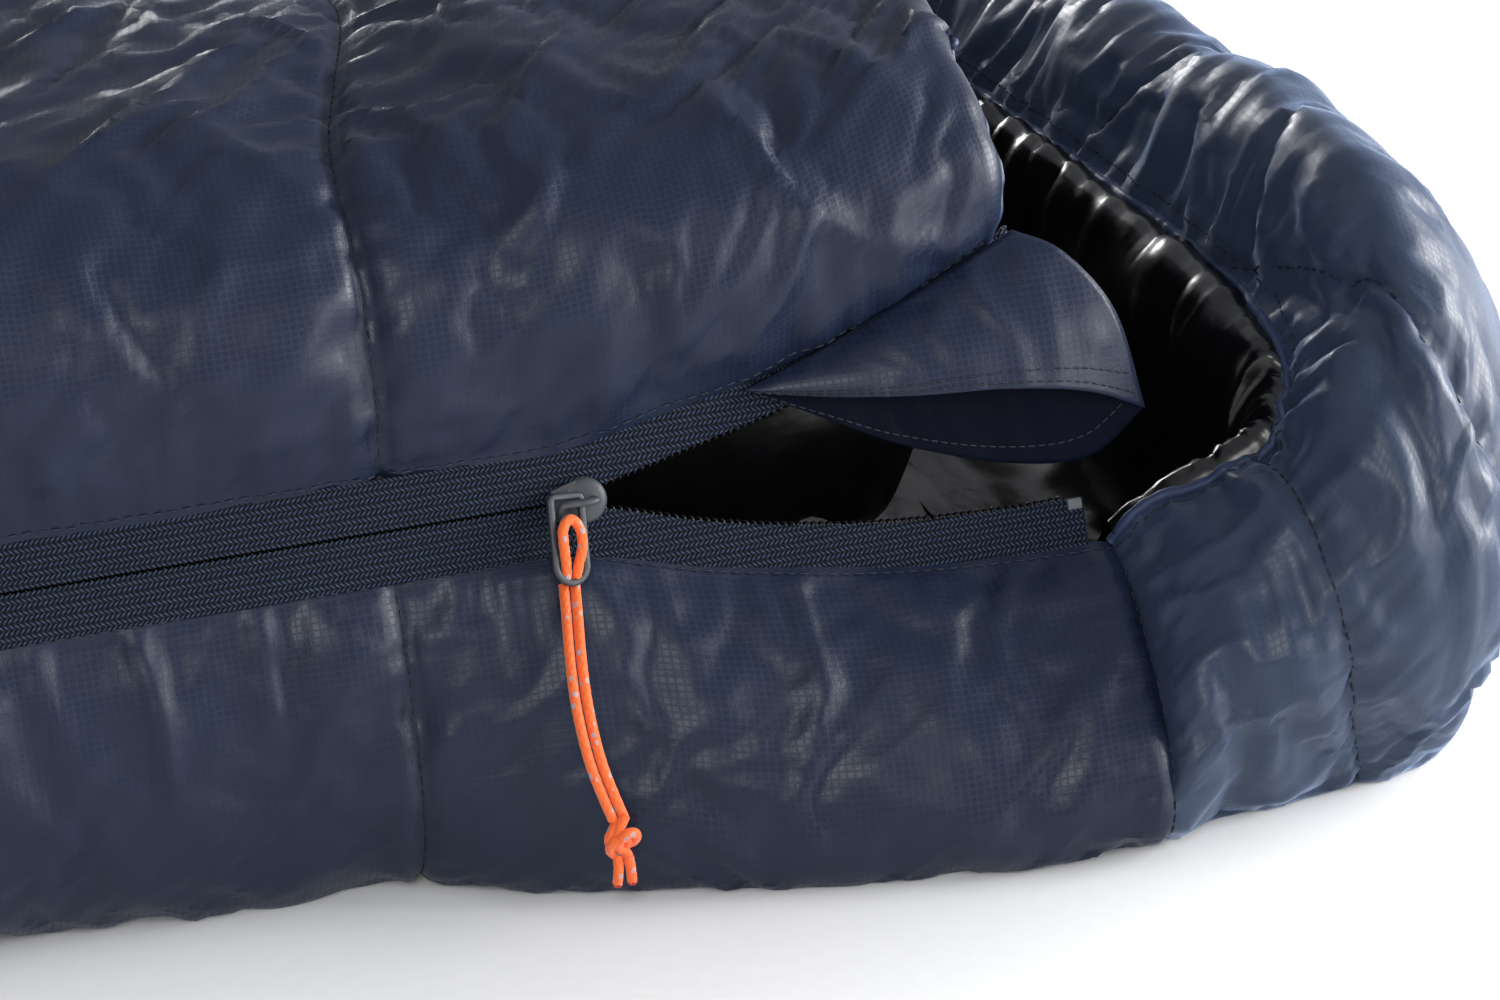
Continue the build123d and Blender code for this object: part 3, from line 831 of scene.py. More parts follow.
# ---- base quilt ---------------------------------------------------------------------------
def build_base():
    x, away, room = columns(NECK_X)
    away = np.minimum(away, np.abs(x - NECK_X))
    rows_side = np.linspace(0, 1, 40)
    rows_floor = np.linspace(0, 1, 52)[1:-1]
    rows_far = np.linspace(0, 1, 18)
    seam = base_sections(x, rows_side, rows_floor, rows_far)
    near = np.clip((x[:, None] - 650) / 120, 0, 1) * (seam[:, :, 1] < 0)
    seam[:, :, 0] += neck_lean(seam[:, :, 2]) * near
    seam, _, uv, edge, d, room = with_foot(seam, x, away, room)
    u, v = uv[:, :, 0], uv[:, :, 1]
    side = len(rows_side)
    on_floor = np.zeros(v.shape)
    on_floor[:, side + 2:-len(rows_far) - 2] = 1
    off_floor = 1 - blur(on_floor, 3)

    height = chamber(d, room[:, None], 4.0)
    height = height * (1 - np.exp(-((edge - 3.5).clip(0) / 20) ** 1.2)) - 1.0
    height += seam_groove(d, 2.2) + puckers(v, d, 200, 0.7)
    height += puckers(u, (edge - 3).clip(0), 230, 1.0) * (edge > 3)
    wall = ease((edge - 5) / 14)
    height += creases(u, v, (430, 770, 8, 60), 46, 21, angle=(-70, -15), length=(18, 60),
                      height=1.7) * wall
    height += creases(u, v, (430, 770, 40, 140), 26, 22, angle=(-40, 10), length=(40, 110),
                      width=(4, 9), height=1.6) * wall
    height += creases(u, v, (-1040, 430, 8, 140), 60, 23, angle=(-70, 0), length=(30, 90),
                      width=(4, 9), height=1.5) * wall
    height += soft_folds(u, v, 24, 1.2) * wall * ease(d / 16)
    height = height * off_floor
    height *= ease((u - (FOOT_X - 40)) / 60)
    sign = outward_sign(seam)
    normals = grid_normals(seam) * sign
    outer = seam + normals * height[:, :, None]
    loose = (d > 1.4) & (edge > 4.2) & (off_floor > 0.5)
    loose[0] = loose[-1] = False
    outer = settle(outer, loose, sign, cap=1.7)
    outer[:, :, 2] = np.maximum(outer[:, :, 2], GROUND)
    obj = add_sheet("base_shell_fabric", outer, uv, flip=sign < 0)
    finish_piece(obj, "nylon", "bag", nodes=["base_shell"])

    thick = 3 + (LOFT - 3) * (1 - np.exp(-(edge / 16) ** 1.3))
    inner = seam - normals * thick[:, :, None]
    folds = soft_folds(u * 1.3, v * 1.3, 61, 4.0)
    folds += creases(u, v, (600, 790, 0, 900), 60, 62, height=5.0, angle=(-50, 60),
                     width=(7, 16), length=(60, 150))
    inner = inner + normals * np.minimum(folds, 6)[:, :, None] * ease(edge / 25)[:, :, None] * -1
    inner[:, :, 2] = np.where(thick > 20, np.maximum(inner[:, :, 2], 20), inner[:, :, 2])
    obj = add_sheet("base_lining_fabric", inner, uv, flip=sign > 0)
    finish_piece(obj, "lining", "bag", nodes=["base_lining"])
    pick = (slice(3, -FOOT_STEPS + 4, 3), slice(int(np.argmax(v[0] > 24)),
                                                -int(np.argmax(edge[0][::-1] > 24)), 3))
    obj = add_slab("base_batting", (seam - normals * 5)[pick], (seam - normals * (LOFT - 6))[pick])
    finish_piece(obj, "batting", "bag", nodes=["base_insulation"])
    return {"outer": outer, "x": x, "normals": normals,
            "near_end": outer[0, :side], "far_end": outer[0, -len(rows_far):][::-1]}


# ---- hood -----------------------------------------------------------------------------------
# Key sections of the near half: rim point, heading of the section in degrees (-90 is towards the
# zip side), then crest, bulge and ground as distance from the rim and height.
HOOD_KEYS = [
    ((785, -412, 76), -90, (14, 68), (47, 36), 36),
    ((799, -414, 79), -88, (16, 74), (46, 40), 32),
    ((813, -416, 85), -80, (20, 86), (47, 46), 30),
    ((824, -408, 98), -48, (24, 122), (60, 58), 42),
    ((829, -385, 107), -14, (22, 146), (64, 64), 52),
    ((830, -340, 109), 0, (25, 147), (65, 66), 54),
    ((829, -240, 104), 0, (26, 138), (64, 66), 54),
    ((827, -120, 97), 0, (26, 128), (60, 62), 52),
    ((826, 0, 95), 0, (25, 122), (59, 60), 51),
]


def hood_section(rim, heading, crest, bulge, ground, fractions):
    turn = math.radians(heading)
    shoulder = (crest[0] + 0.64 * (bulge[0] - crest[0]), bulge[1] + 0.71 * (crest[1] - bulge[1]))
    profile = catmull([(0, rim[2]), crest, shoulder, bulge, (ground, GROUND)])
    flat = at_fractions(profile, fractions)
    return np.stack([rim[0] + flat[:, 0] * math.cos(turn), rim[1] + flat[:, 0] * math.sin(turn),
                     flat[:, 1]], 1)


def mirrored_sections(near):
    """Sections of the near half, carried on over the far half."""
    near = np.array(near)
    return np.concatenate([near, near[:-1][::-1] * (1, -1, 1)])


FAR_HEM = (-404.0, ZIP_Z)             # far side of the neck, given as on the near side
FAR_FLOOR, FAR_BULGE = 402.0, 436.0


def hood_sections(rows):
    """Seam surface of the hood as key sections from the near neck seam to the far one."""
    hem = zip_point(NECK_X, follow(NECK_X, LOWER_HEM), 0.9)
    neck = base_side(hem[1:], float(floor_half(NECK_X)), float(bulge_half(NECK_X)), rows)
    near = [np.hstack([NECK_X + neck_lean(neck[:, 1:]), neck])]
    sections = mirrored_sections(near + [hood_section(*key, rows) for key in HOOD_KEYS])
    sections[-1, :, 0] = NECK_X
    sections[-1, :, 1:] = base_side(FAR_HEM, FAR_FLOOR, FAR_BULGE, rows) * (-1, 1)
    return sections


def bowl_section(rim, heading, fractions):
    """Inside of the hood in one section: from the rim down to the floor of the bowl."""
    turn, top = math.radians(heading), rim[2]
    profile = catmull([(0, top), (-6, top + 1.5), (-14, top - 12), (-17, 0.45 * top + 14),
                       (-27, 33), (-50, 27.5)])
    flat = at_fractions(profile, fractions)
    return np.stack([rim[0] + flat[:, 0] * math.cos(turn), rim[1] + flat[:, 0] * math.sin(turn),
                     flat[:, 1]], 1)


def bowl_sections(fractions):
    hem = zip_point(NECK_X, follow(NECK_X, LOWER_HEM), 0.9)
    hem[0] += neck_lean(hem[2])
    rims = [(hem, -90)] + [(np.array(key[0], float), key[1]) for key in HOOD_KEYS]
    sections = mirrored_sections([bowl_section(*place, fractions) for place in rims])
    sections[-1] = bowl_section(np.array((NECK_X, -FAR_HEM[0], FAR_HEM[1])), 90, fractions)
    return sections


# Seams of the near half as (section number, share of the way from the rim to the ground).
HOOD_SEAMS = [
    [(3.0, 0.0), (2.8, 0.33), (2.85, 0.5), (3.05, 0.75), (3.35, 1.0)],
    [(5.95, 0.0), (5.3, 0.06), (4.5, 0.14), (4.12, 0.28), (4.1, 0.42), (4.2, 0.58), (4.3, 0.8),
     (4.35, 1.0)],
    [(7.0, 0.0), (6.66, 0.28), (6.66, 0.6), (6.7, 1.0)],
    [(8.35, 0.0), (8.25, 0.3), (8.25, 1.0)],
]
HOOD_FOLD = [(5.6, 0.0), (4.6, 0.1), (3.75, 0.24), (3.55, 0.42), (3.5, 0.6)]


def build_hood(base):
    rows = np.linspace(0, 1, 72)
    sections = hood_sections(rows)
    number = np.arange(len(sections))
    reach = run_lengths(sections[:, 26])
    half = reach[len(sections) // 2]
    u_line = np.concatenate([np.arange(0, half, 3.2), np.linspace(half, reach[-1], 90)])
    seam = hermite(reach, sections, u_line)
    index = np.interp(u_line, reach, number)
    across = lengths_across(seam)
    u = np.broadcast_to(u_line[:, None], across.shape)
    v, share = across, np.broadcast_to(rows[None, :], across.shape)
    total = number[-1]

    def away_from(path):
        knots = np.array(path)
        place = np.interp(rows, knots[:, 1], np.interp(knots[:, 0], number, reach))
        slope = np.gradient(place) / np.gradient(across.mean(0))
        gap = np.abs(u_line[:, None] - place[None, :]) / np.sqrt(1 + slope ** 2)[None, :]
        beyond = (share - knots[-1, 1]).clip(0) * across[:, -1:]
        return np.hypot(gap, beyond), place

    paths = HOOD_SEAMS + [[(total - n, w) for n, w in path] for path in HOOD_SEAMS]
    fields = [away_from(path) for path in paths]
    d = np.minimum.reduce([f[0] for f in fields] + [u, reach[-1] - u])
    edge = v

    height = chamber(d, 50.0, 4.0) * (1 - np.exp(-(edge / 24) ** 1.1)) * ease((1 - share) / 0.08)
    height += seam_groove(d, 2.6) + puckers(v, d, 300, 0.9)
    height += 1.7 * puckers(u, edge, 330, 1.0) * ease((edge + 2) / 5)
    fold = away_from(HOOD_FOLD)[0]
    height += seam_groove(fold, 4.0, 5.0) * ease((0.66 - share) / 0.2)
    near_side = (0, float(np.interp(4.6, number, reach)), 15, 200)
    height += creases(u, v, near_side, 60, 31, angle=(68, 112), length=(50, 130), width=(3, 8),
                      height=2.4)
    height += creases(u, v, (near_side[1] - 40, half, 5, 190), 60, 32, angle=(50, 130),
                      length=(30, 90), width=(3, 9), height=1.6)
    height += creases(u, v, (half, reach[-1], 5, 190), 50, 33, angle=(50, 130), length=(40, 100),
                      width=(5, 10), height=1.8)
    height += soft_folds(v * 0.6, u, 34, 1.5) * ease(d / 15) * ease(edge / 12)
    sign = outward_sign(seam)
    normals = grid_normals(seam) * sign
    outer = seam + normals * height[:, :, None]
    outer[0] = at_fractions(base["near_end"], rows)
    outer[-1] = at_fractions(base["far_end"], rows)
    loose = (d > 1.7) & (edge > 1.5) & (share < 0.99)
    loose[0] = loose[-1] = False
    outer = settle(outer, loose, sign)
    outer[:, :, 2] = np.maximum(outer[:, :, 2], GROUND)
    under = []
    for k in range(1, 7):
        ring = outer[:, -1].copy()
        ring[:, 0] += (NECK_X - 2 - ring[:, 0]) * k / 6
        ring[:, 1] = np.clip(ring[:, 1], -448, 448) * (1 - 0.01 * k)
        ring[:, 2] = GROUND
        under.append(ring)
    whole = np.concatenate([outer, np.stack(under, 1)], axis=1)
    uv = np.stack([np.broadcast_to(u_line[:, None], whole.shape[:2]),
                   np.concatenate([v, v[:, -1:] + 12 * np.arange(1, 7)[None, :]], axis=1)], 2)
    obj = add_sheet("hood_shell_fabric", whole, uv, flip=sign < 0)
    # The hood shell takes the navy nylon copy whose colour is lightened with painted sheen.
    finish_piece(obj, "nylon_hood_painted_sheen", "bag", nodes=["hood_shell"])

    inner_rows = np.linspace(0, 1, 36)
    bowl = hermite(reach, bowl_sections(inner_rows), u_line)
    inward = grid_normals(bowl)
    middle = np.array([NECK_X - 100, 0, 90])
    if ((middle - bowl) * inward).sum() < 0:
        inward = -inward
    depth = lengths_across(bowl)
    gathers = (1.9 * ridged(u_line[:, None] / 17 + 0.3 * noise(u_line[:, None] / 30, depth / 30, 5),
                            depth / 90, 71)
               + 1.1 * ridged(u_line[:, None] / 8, depth / 60, 72)) * np.exp(-(depth / 42) ** 2)
    slack = gathers + soft_folds(u_line[:, None] + 0 * depth, depth, 73, 2.4)
    slack = slack * ease(depth / 5) * ease((depth[:, -1:] - depth) / 12)
    plain = bowl
    bowl = bowl + inward * slack[:, :, None]
    floor = bowl[:, -1].copy()
    floor[:, 0] = np.minimum(floor[:, 0], NECK_X - 6)
    floor[:, 1] = np.clip(floor[:, 1], -372, 372)
    whole = np.concatenate([bowl, floor[:, None, :]], axis=1)
    uv = np.stack([np.broadcast_to(u_line[:, None], whole.shape[:2]),
                   np.concatenate([depth, depth[:, -1:] + 20], axis=1)], 2)
    flip = (grid_normals(bowl) * inward).sum() > 0
    obj = add_sheet("hood_lining_fabric", whole, uv, flip=not flip)
    finish_piece(obj, "lining", "bag", nodes=["hood_lining"])

    # The batting fills the hood between its outside and the bowl.
    outer_part = (seam - normals * 10)[4:-4:3, np.linspace(20, 66, 24).astype(int)]
    inner_part = (plain - inward * 6)[4:-4:3, np.linspace(14, 33, 24).astype(int)]
    obj = add_slab("hood_batting", outer_part, inner_part)
    finish_piece(obj, "batting", "bag", nodes=["hood_insulation"])

    rim = outer[:, 0] + (0, 0, 0.4)
    gather = lambda angle, s: 0.35 * noise(s / 2.6, np.cos(angle) + 0.5, 81)
    obj = tube("hood_rim_edge", at_lengths(rim, np.arange(0, run_lengths(rim)[-1], 1.3)), 1.5, 10,
               gather)
    finish_piece(obj, "binding", "bag", nodes=["hood_rim_binding"])
    obj = tube("hood_rim_elastic_cord", rim[::2], 0.8, 8)
    finish_piece(obj, "elastic", "bag", nodes=["hood_rim_elastic"])

    lines = []
    for _, place in fields:
        columns_at = np.interp(place, u_line, np.arange(len(u_line)))
        low = np.floor(columns_at).astype(int).clip(0, len(u_line) - 2)
        part = columns_at - low
        r = np.arange(len(rows))
        line = outer[low, r] * (1 - part)[:, None] + outer[low + 1, r] * part[:, None]
        lines.append(line[1:] + normals[low, r][1:] * 0.15)
    hem = int(np.argmax(across[len(u_line) // 4] > 4.2))
    lines.append(outer[:, hem] + normals[:, hem] * 0.15)
    stitches("hood_stitching", lines, "thread")


# ---- zip ----------------------------------------------------------------------------------------
def zip_columns(end, fine=560):
    return np.concatenate([np.arange(ZIP_START_X, fine, 9.0), np.arange(fine, end, 2.5), [end]])


def build_tapes():
    for name, side, lip, hem, end in (("lower", -1, LOWER_LIP, LOWER_HEM, TAPE_END_X),
                                      ("upper", 1, UPPER_LIP, UPPER_HEM, TOP_NECK_X)):
        x = zip_columns(end)
        inner, outer = follow(x, lip), follow(x, hem) + side * 2.5
        inner = np.where(x < SLIDER_X - 3, side * 0.42, inner)
        part = np.linspace(0, 1, 13)
        across = inner[:, None] + (outer - inner)[:, None] * part[None, :]
        sewn = np.abs(across - inner[:, None])
        out = 0.28 * np.exp(-((sewn - 1.7) / 0.8) ** 2) - 0.25 * np.exp(-((sewn - 3.1) / 0.5) ** 2)
        out += 0.25 * noise(x[:, None] / 19, across / 14, 90) * ease((x[:, None] - 640) / 30)
        faces = [zip_point(x[:, None], across, out + side_out) for side_out in (0.4, -0.4)]
        if side > 0:
            faces = [f[:, ::-1] for f in faces]
        obj = add_slab(f"zip_tape_{name}_knit", faces[0][:, ::-1], faces[1][:, ::-1])
        uv = np.stack(np.broadcast_arrays(x[:, None], across), 2)
        if side > 0:
            uv = uv[:, ::-1]
        set_uv(obj.data, np.concatenate([uv[:, ::-1].reshape(-1, 2)] * 2))
        finish_piece(obj, "tape", "bag", nodes=[f"zip_tape_{name}"])


def build_coils():
    for name, side, lip, end in (("lower", -1, LOWER_LIP, TAPE_END_X - 2),
                                 ("upper", 1, UPPER_LIP, UPPER_COIL_X)):
        turns = int((end - ZIP_START_X - 2) / COIL_PITCH)
        t = np.arange(turns * COIL_STEPS) / COIL_STEPS
        x = ZIP_START_X + 1 + (t + (0.5 if side > 0 else 0)) * COIL_PITCH
        lip_at = np.where(x < SLIDER_X - 3, side * 0.55, follow(x, lip))
        turn = 2 * math.pi * t
        across = lip_at + side * (0.32 - 1.12 * np.cos(turn))
        out = -1.05 + 0.95 * np.sin(turn)
        x = x + 0.25 * np.sin(2 * turn)
        obj = tube(f"zip_coil_{name}_helix", zip_point(x, across, out), 0.36, 5)
        finish_piece(obj, "coil", "bag", nodes=[f"zip_coil_{name}"])


def zip_lathe(name, x, profile, segments=40):
    """Round solid on the zip's face, from (radius, out) pairs."""
    turn = np.linspace(0, 2 * math.pi, segments, endpoint=False)
    profile = np.array(profile, float)
    r, out = profile[:, 0][:, None], profile[:, 1][:, None]
    grid = zip_point(x + r * np.cos(turn), r * np.sin(turn), out + 0 * turn)
    faces = grid_faces(len(profile), segments, flip=True, close_columns=True)
    faces += [list(range(segments))[::-1],
              [(len(profile) - 1) * segments + k for k in range(segments)]]
    return add_object(name, grid.reshape(-1, 3), [f[::-1] for f in faces])


def zip_prism(name, outline, low, high):
    """Solid over an outline of (x, across) points, between two heights over the zip."""
    outline = np.array(outline, float)
    n = len(outline)
    points = np.concatenate([zip_point(outline[:, 0], outline[:, 1], h) for h in (low, high)])
    faces = [[k, (k + 1) % n, n + (k + 1) % n, n + k] for k in range(n)]
    faces += [list(range(n))[::-1], [n + k for k in range(n)]]
    return add_object(name, points, faces, smooth=False)


def cast(obj, voxel, soften=4):
    """Fuses the shells of a piece into one skin with rounded corners."""
    remesh = obj.modifiers.new("fuse", "REMESH")
    remesh.mode, remesh.voxel_size, remesh.use_smooth_shade = "VOXEL", voxel * MM, True
    smooth = obj.modifiers.new("soften", "SMOOTH")
    smooth.iterations, smooth.factor = soften, 0.5
    bpy.context.view_layer.objects.active = obj
    for modifier in ("fuse", "soften"):
        bpy.ops.object.modifier_apply(modifier=modifier)
    return obj


def build_stops():
    for name, side, lip, end in (("lower", -1, LOWER_LIP, TAPE_END_X),
                                 ("upper", 1, UPPER_LIP, UPPER_STOP_X)):
        x0, x1 = end - 4.6, end - 0.8
        a = float(follow(end, lip))
        b = a + side * 2.8
        obj = zip_prism(f"zip_top_stop_{name}_clamp", [(x0, a), (x1, a), (x1, b), (x0, b)][::side],
                        0.3, 1.7)
        finish_piece(cast(obj, 0.16, 5), "stop", "bag", nodes=[f"zip_top_stop_{name}"])
    x = BOTTOM_STOP_X
    box = [(x - 2, -2.6), (x + 2, -2.6), (x + 2, 2.6), (x - 2, 2.6)]
    front = zip_prism("stop_front", box, 0.4, 1.6)
    back = zip_prism("stop_back", box, -3.7, -2.5)
    obj = join("zip_bottom_stop_clamp", [front, back])
    finish_piece(cast(obj, 0.2, 5), "stop", "bag", nodes=["zip_bottom_stop"])


def build_slider():
    x = SLIDER_X + 1.8
    cap = zip_lathe("cap", x, [(0.2, 3.75), (2.4, 3.7), (4.3, 3.45), (5.3, 3.0), (5.85, 2.35),
                               (5.9, 1.9), (5.7, 1.5), (5.2, 1.2), (0.2, 1.2)])
    tail = zip_prism("tail", [(SLIDER_X - 6.6, -3.6), (x - 2, -5.4), (x - 2, 5.4),
                              (SLIDER_X - 6.6, 3.6)], 1.3, 3.1)
    neck = zip_prism("neck", [(SLIDER_X, -0.4), (SLIDER_X + 6, -0.4), (SLIDER_X + 6, 0.4),
                              (SLIDER_X, 0.4)], -3.2, 1.6)
    back = zip_prism("back", [(SLIDER_X - 6.5, -3), (SLIDER_X - 4.5, -4), (SLIDER_X + 4.5, -4),
                              (SLIDER_X + 6.5, -2.4), (SLIDER_X + 6.5, 2.4), (SLIDER_X + 4.5, 4),
                              (SLIDER_X - 4.5, 4), (SLIDER_X - 6.5, 3)], -4.4, -2.9)
    obj = cast(join("slider_casting", [cap, tail, neck, back]), 0.2, 4)
    finish_piece(obj, "slider", "slider", nodes=["slider_body"])
    route = [(639.2, 0.0, 2.8), (639.1, 0.0, 5.2), (638.7, 0.0, 6.8), (637.2, 0.0, 7.6),
             (634.5, 0.0, 7.75), (631.0, 0.0, 7.7), (629.6, -0.3, 7.5), (629.2, -1.7, 6.5),
             (629.2, -2.7, 5.0), (629.2, -3.2, 2.8)]
    line = catmull(route, 8)
    flat = lambda angle, s: 0.12 * np.cos(2 * angle)
    obj = tube("slider_bridge_bar", zip_point(line[:, 0], line[:, 1], line[:, 2]), 1.0, 18, flat)
    finish_piece(obj, "slider", "slider", nodes=["slider_bridge"])


# ---- pull: ring, hitch, strands and knot ------------------------------------------------------
def ring_place(points):
    """Ring coordinates to world: x across the ring, y away from the viewer, z up the ring."""
    turn = (Matrix.Rotation(math.radians(-25), 3, "X") @ Matrix.Rotation(math.radians(4), 3, "Y")
            @ Matrix.Rotation(math.radians(13.2), 3, "Z"))
    bridge = zip_point(SLIDER_X - 3.8, 0, BRIDGE_OUT)
    return bridge + (np.asarray(points, float) + (0, 1.2, 0)) @ np.array(turn).T


def build_ring():
    half, top, low, corner = 4.25, 2.2, -15.1, 1.0
    line = [(-half + corner, top), (half - corner, top), (half - 0.3, top - 0.3),
            (half, top - corner)]
    line += [(half, z) for z in np.linspace(0, low, 9)]
    line += [(half * math.cos(a), low - half * math.sin(a))
             for a in np.linspace(0.15, math.pi - 0.15, 15)]
    line += [(-half, z) for z in np.linspace(low, 0, 9)]
    line += [(-half, top - corner), (-half + 0.3, top - 0.3)]
    line = np.array(line)
    sides = 14
    turn = np.linspace(0, 2 * math.pi, sides, endpoint=False)
    power = lambda a: np.sign(a) * np.abs(a) ** 0.62
    tangent = np.roll(line, -1, axis=0) - np.roll(line, 1, axis=0)
    tangent /= np.linalg.norm(tangent, axis=1, keepdims=True)
    side = np.stack([tangent[:, 1], -tangent[:, 0]], 1)
    wide, deep = 0.95 * power(np.cos(turn)), 0.8 * power(np.sin(turn))
    x = line[:, 0][:, None] + side[:, 0][:, None] * wide
    z = line[:, 1][:, None] + side[:, 1][:, None] * wide
    points = ring_place(np.stack([x, deep[None, :] + 0 * x, z], 2))
    faces = grid_faces(len(line), sides, close_rows=True, close_columns=True)
    obj = add_object("pull_ring_band", points.reshape(-1, 3), faces)
    finish_piece(obj, "ring", "pull", nodes=["pull_ring"])


def spline_line(points, name):
    """Points along a smooth NURBS line through the air near the given points."""
    curve = bpy.data.curves.new(name, "CURVE")
    curve.dimensions = "3D"
    curve.resolution_u = 24
    spline = curve.splines.new("NURBS")
    spline.points.add(len(points) - 1)
    for place, point in zip(spline.points, points):
        place.co = (*(c * MM for c in point), 1)
    spline.order_u = 3
    spline.use_endpoint_u = True
    holder = bpy.data.objects.new(name, curve)
    mesh = bpy.data.meshes.new_from_object(holder)
    line = np.array([v.co for v in mesh.vertices]) / MM
    bpy.data.meshes.remove(mesh)
    bpy.data.objects.remove(holder)
    bpy.data.curves.remove(curve)
    return line


def braided(angle, s):
    """Crossing strands of a braid."""
    left, right = np.cos(5 * angle + 2.1 * s), np.cos(5 * angle - 2.1 * s)
    return 0.085 * np.maximum(left, right)


def cord_tube(name, line, material="cord", radius=CORD_D / 2 - 0.05):
    even = at_lengths(line, np.linspace(0, run_lengths(line)[-1],
                                        int(run_lengths(line)[-1] / 0.28) + 2))
    return tube(name, even, radius, 24, braided)


HITCH = [(-1.5, 0.6, -18.4), (-1.5, -0.4, -15.6), (-2.5, -1.9, -10.5), (-2.6, -2.0, -5.4),
         (0.0, -1.9, -3.1), (2.6, -1.7, -5.6), (2.9, -1.9, -10.6), (1.5, -0.4, -15.6),
         (1.5, 0.6, -18.4)]
STRANDS = [(629.3, -411.5, 80.0), (628.0, -417.8, 75.2), (626.0, -426.2, 68.0),
           (624.7, -434.8, 58.2), (625.4, -441.4, 46.4), (628.2, -443.9, 36.0),
           (630.2, -444.5, 30.1)]
STRAND_LENGTH, STRAND_GAP = 0.063, 2.9
KNOT = np.array((630.8, -444.8, 24.2))
KNOT_TURNS = [(0.0, 0.0, 6.4), (-1.5, -0.9, 4.2), (-2.7, -0.4, 1.6), (-1.6, 1.4, -1.6),
              (1.2, 1.6, -2.6), (2.8, 0.2, -0.6), (1.9, -1.7, 2.2), (-0.6, -2.5, 2.6),
              (-2.6, -1.4, 0.2), (-2.0, 0.9, -3.0), (0.4, 0.6, -4.4), (0.3, 0.0, -6.2)]


def build_pull():
    build_ring()
    line = ring_place(spline_line(HITCH, "hitch_route"))
    obj = cord_tube("pull_cord_hitch_loop", line)
    finish_piece(obj, "cord", "pull", nodes=["pull_cord_hitch"])
    for name, side in (("left", -1), ("right", 1)):
        route = [(x + side * STRAND_GAP / 2, y, z) for x, y, z in STRANDS]
        line = spline_line(route, f"{name}_route")
        obj = cord_tube(f"pull_cord_{name}_strand", line)
        finish_piece(obj, "cord", "cord", nodes=[f"pull_cord_{name}"])
    turns = [spline_line([KNOT + np.array(p) + (side * 0.9, -side * 0.5, side * 0.7)
                          for p in KNOT_TURNS], "knot_route") for side in (-1, 1)]
    loops = [cord_tube("knot_turns", line) for line in turns]
    tails = [cord_tube("knot_tail", catmull([KNOT + (side * 1.2, -0.6 * side, -4.4),
                                             KNOT + (side * 1.6, -0.8, -8.0),
                                             KNOT + (side * 1.9, -0.4, -11.6)]))
             for side in (-1, 1)]
    knot = join("pull_cord_knot_turns", loops + tails)
    finish_piece(knot, "cord", "cord", nodes=["pull_cord_knot"])
    tips = []
    for side in (-1, 1):
        end = KNOT + (side * 1.9, -0.4, -11.5)
        tips.append(tube("tip", [end, end - (0, 0, 0.5), end - (0, 0, 1.0), end - (0, 0, 1.3)],
                         np.array([1.25, 1.35, 1.0, 0.4]), 14))
    tips = finish_piece(join("pull_cord_melted_ends", tips), "melted", "cord")


# ---- zip garage ---------------------------------------------------------------------------------
def garage_edge(points, count):
    return at_fractions(catmull(points), np.linspace(0, 1, count))


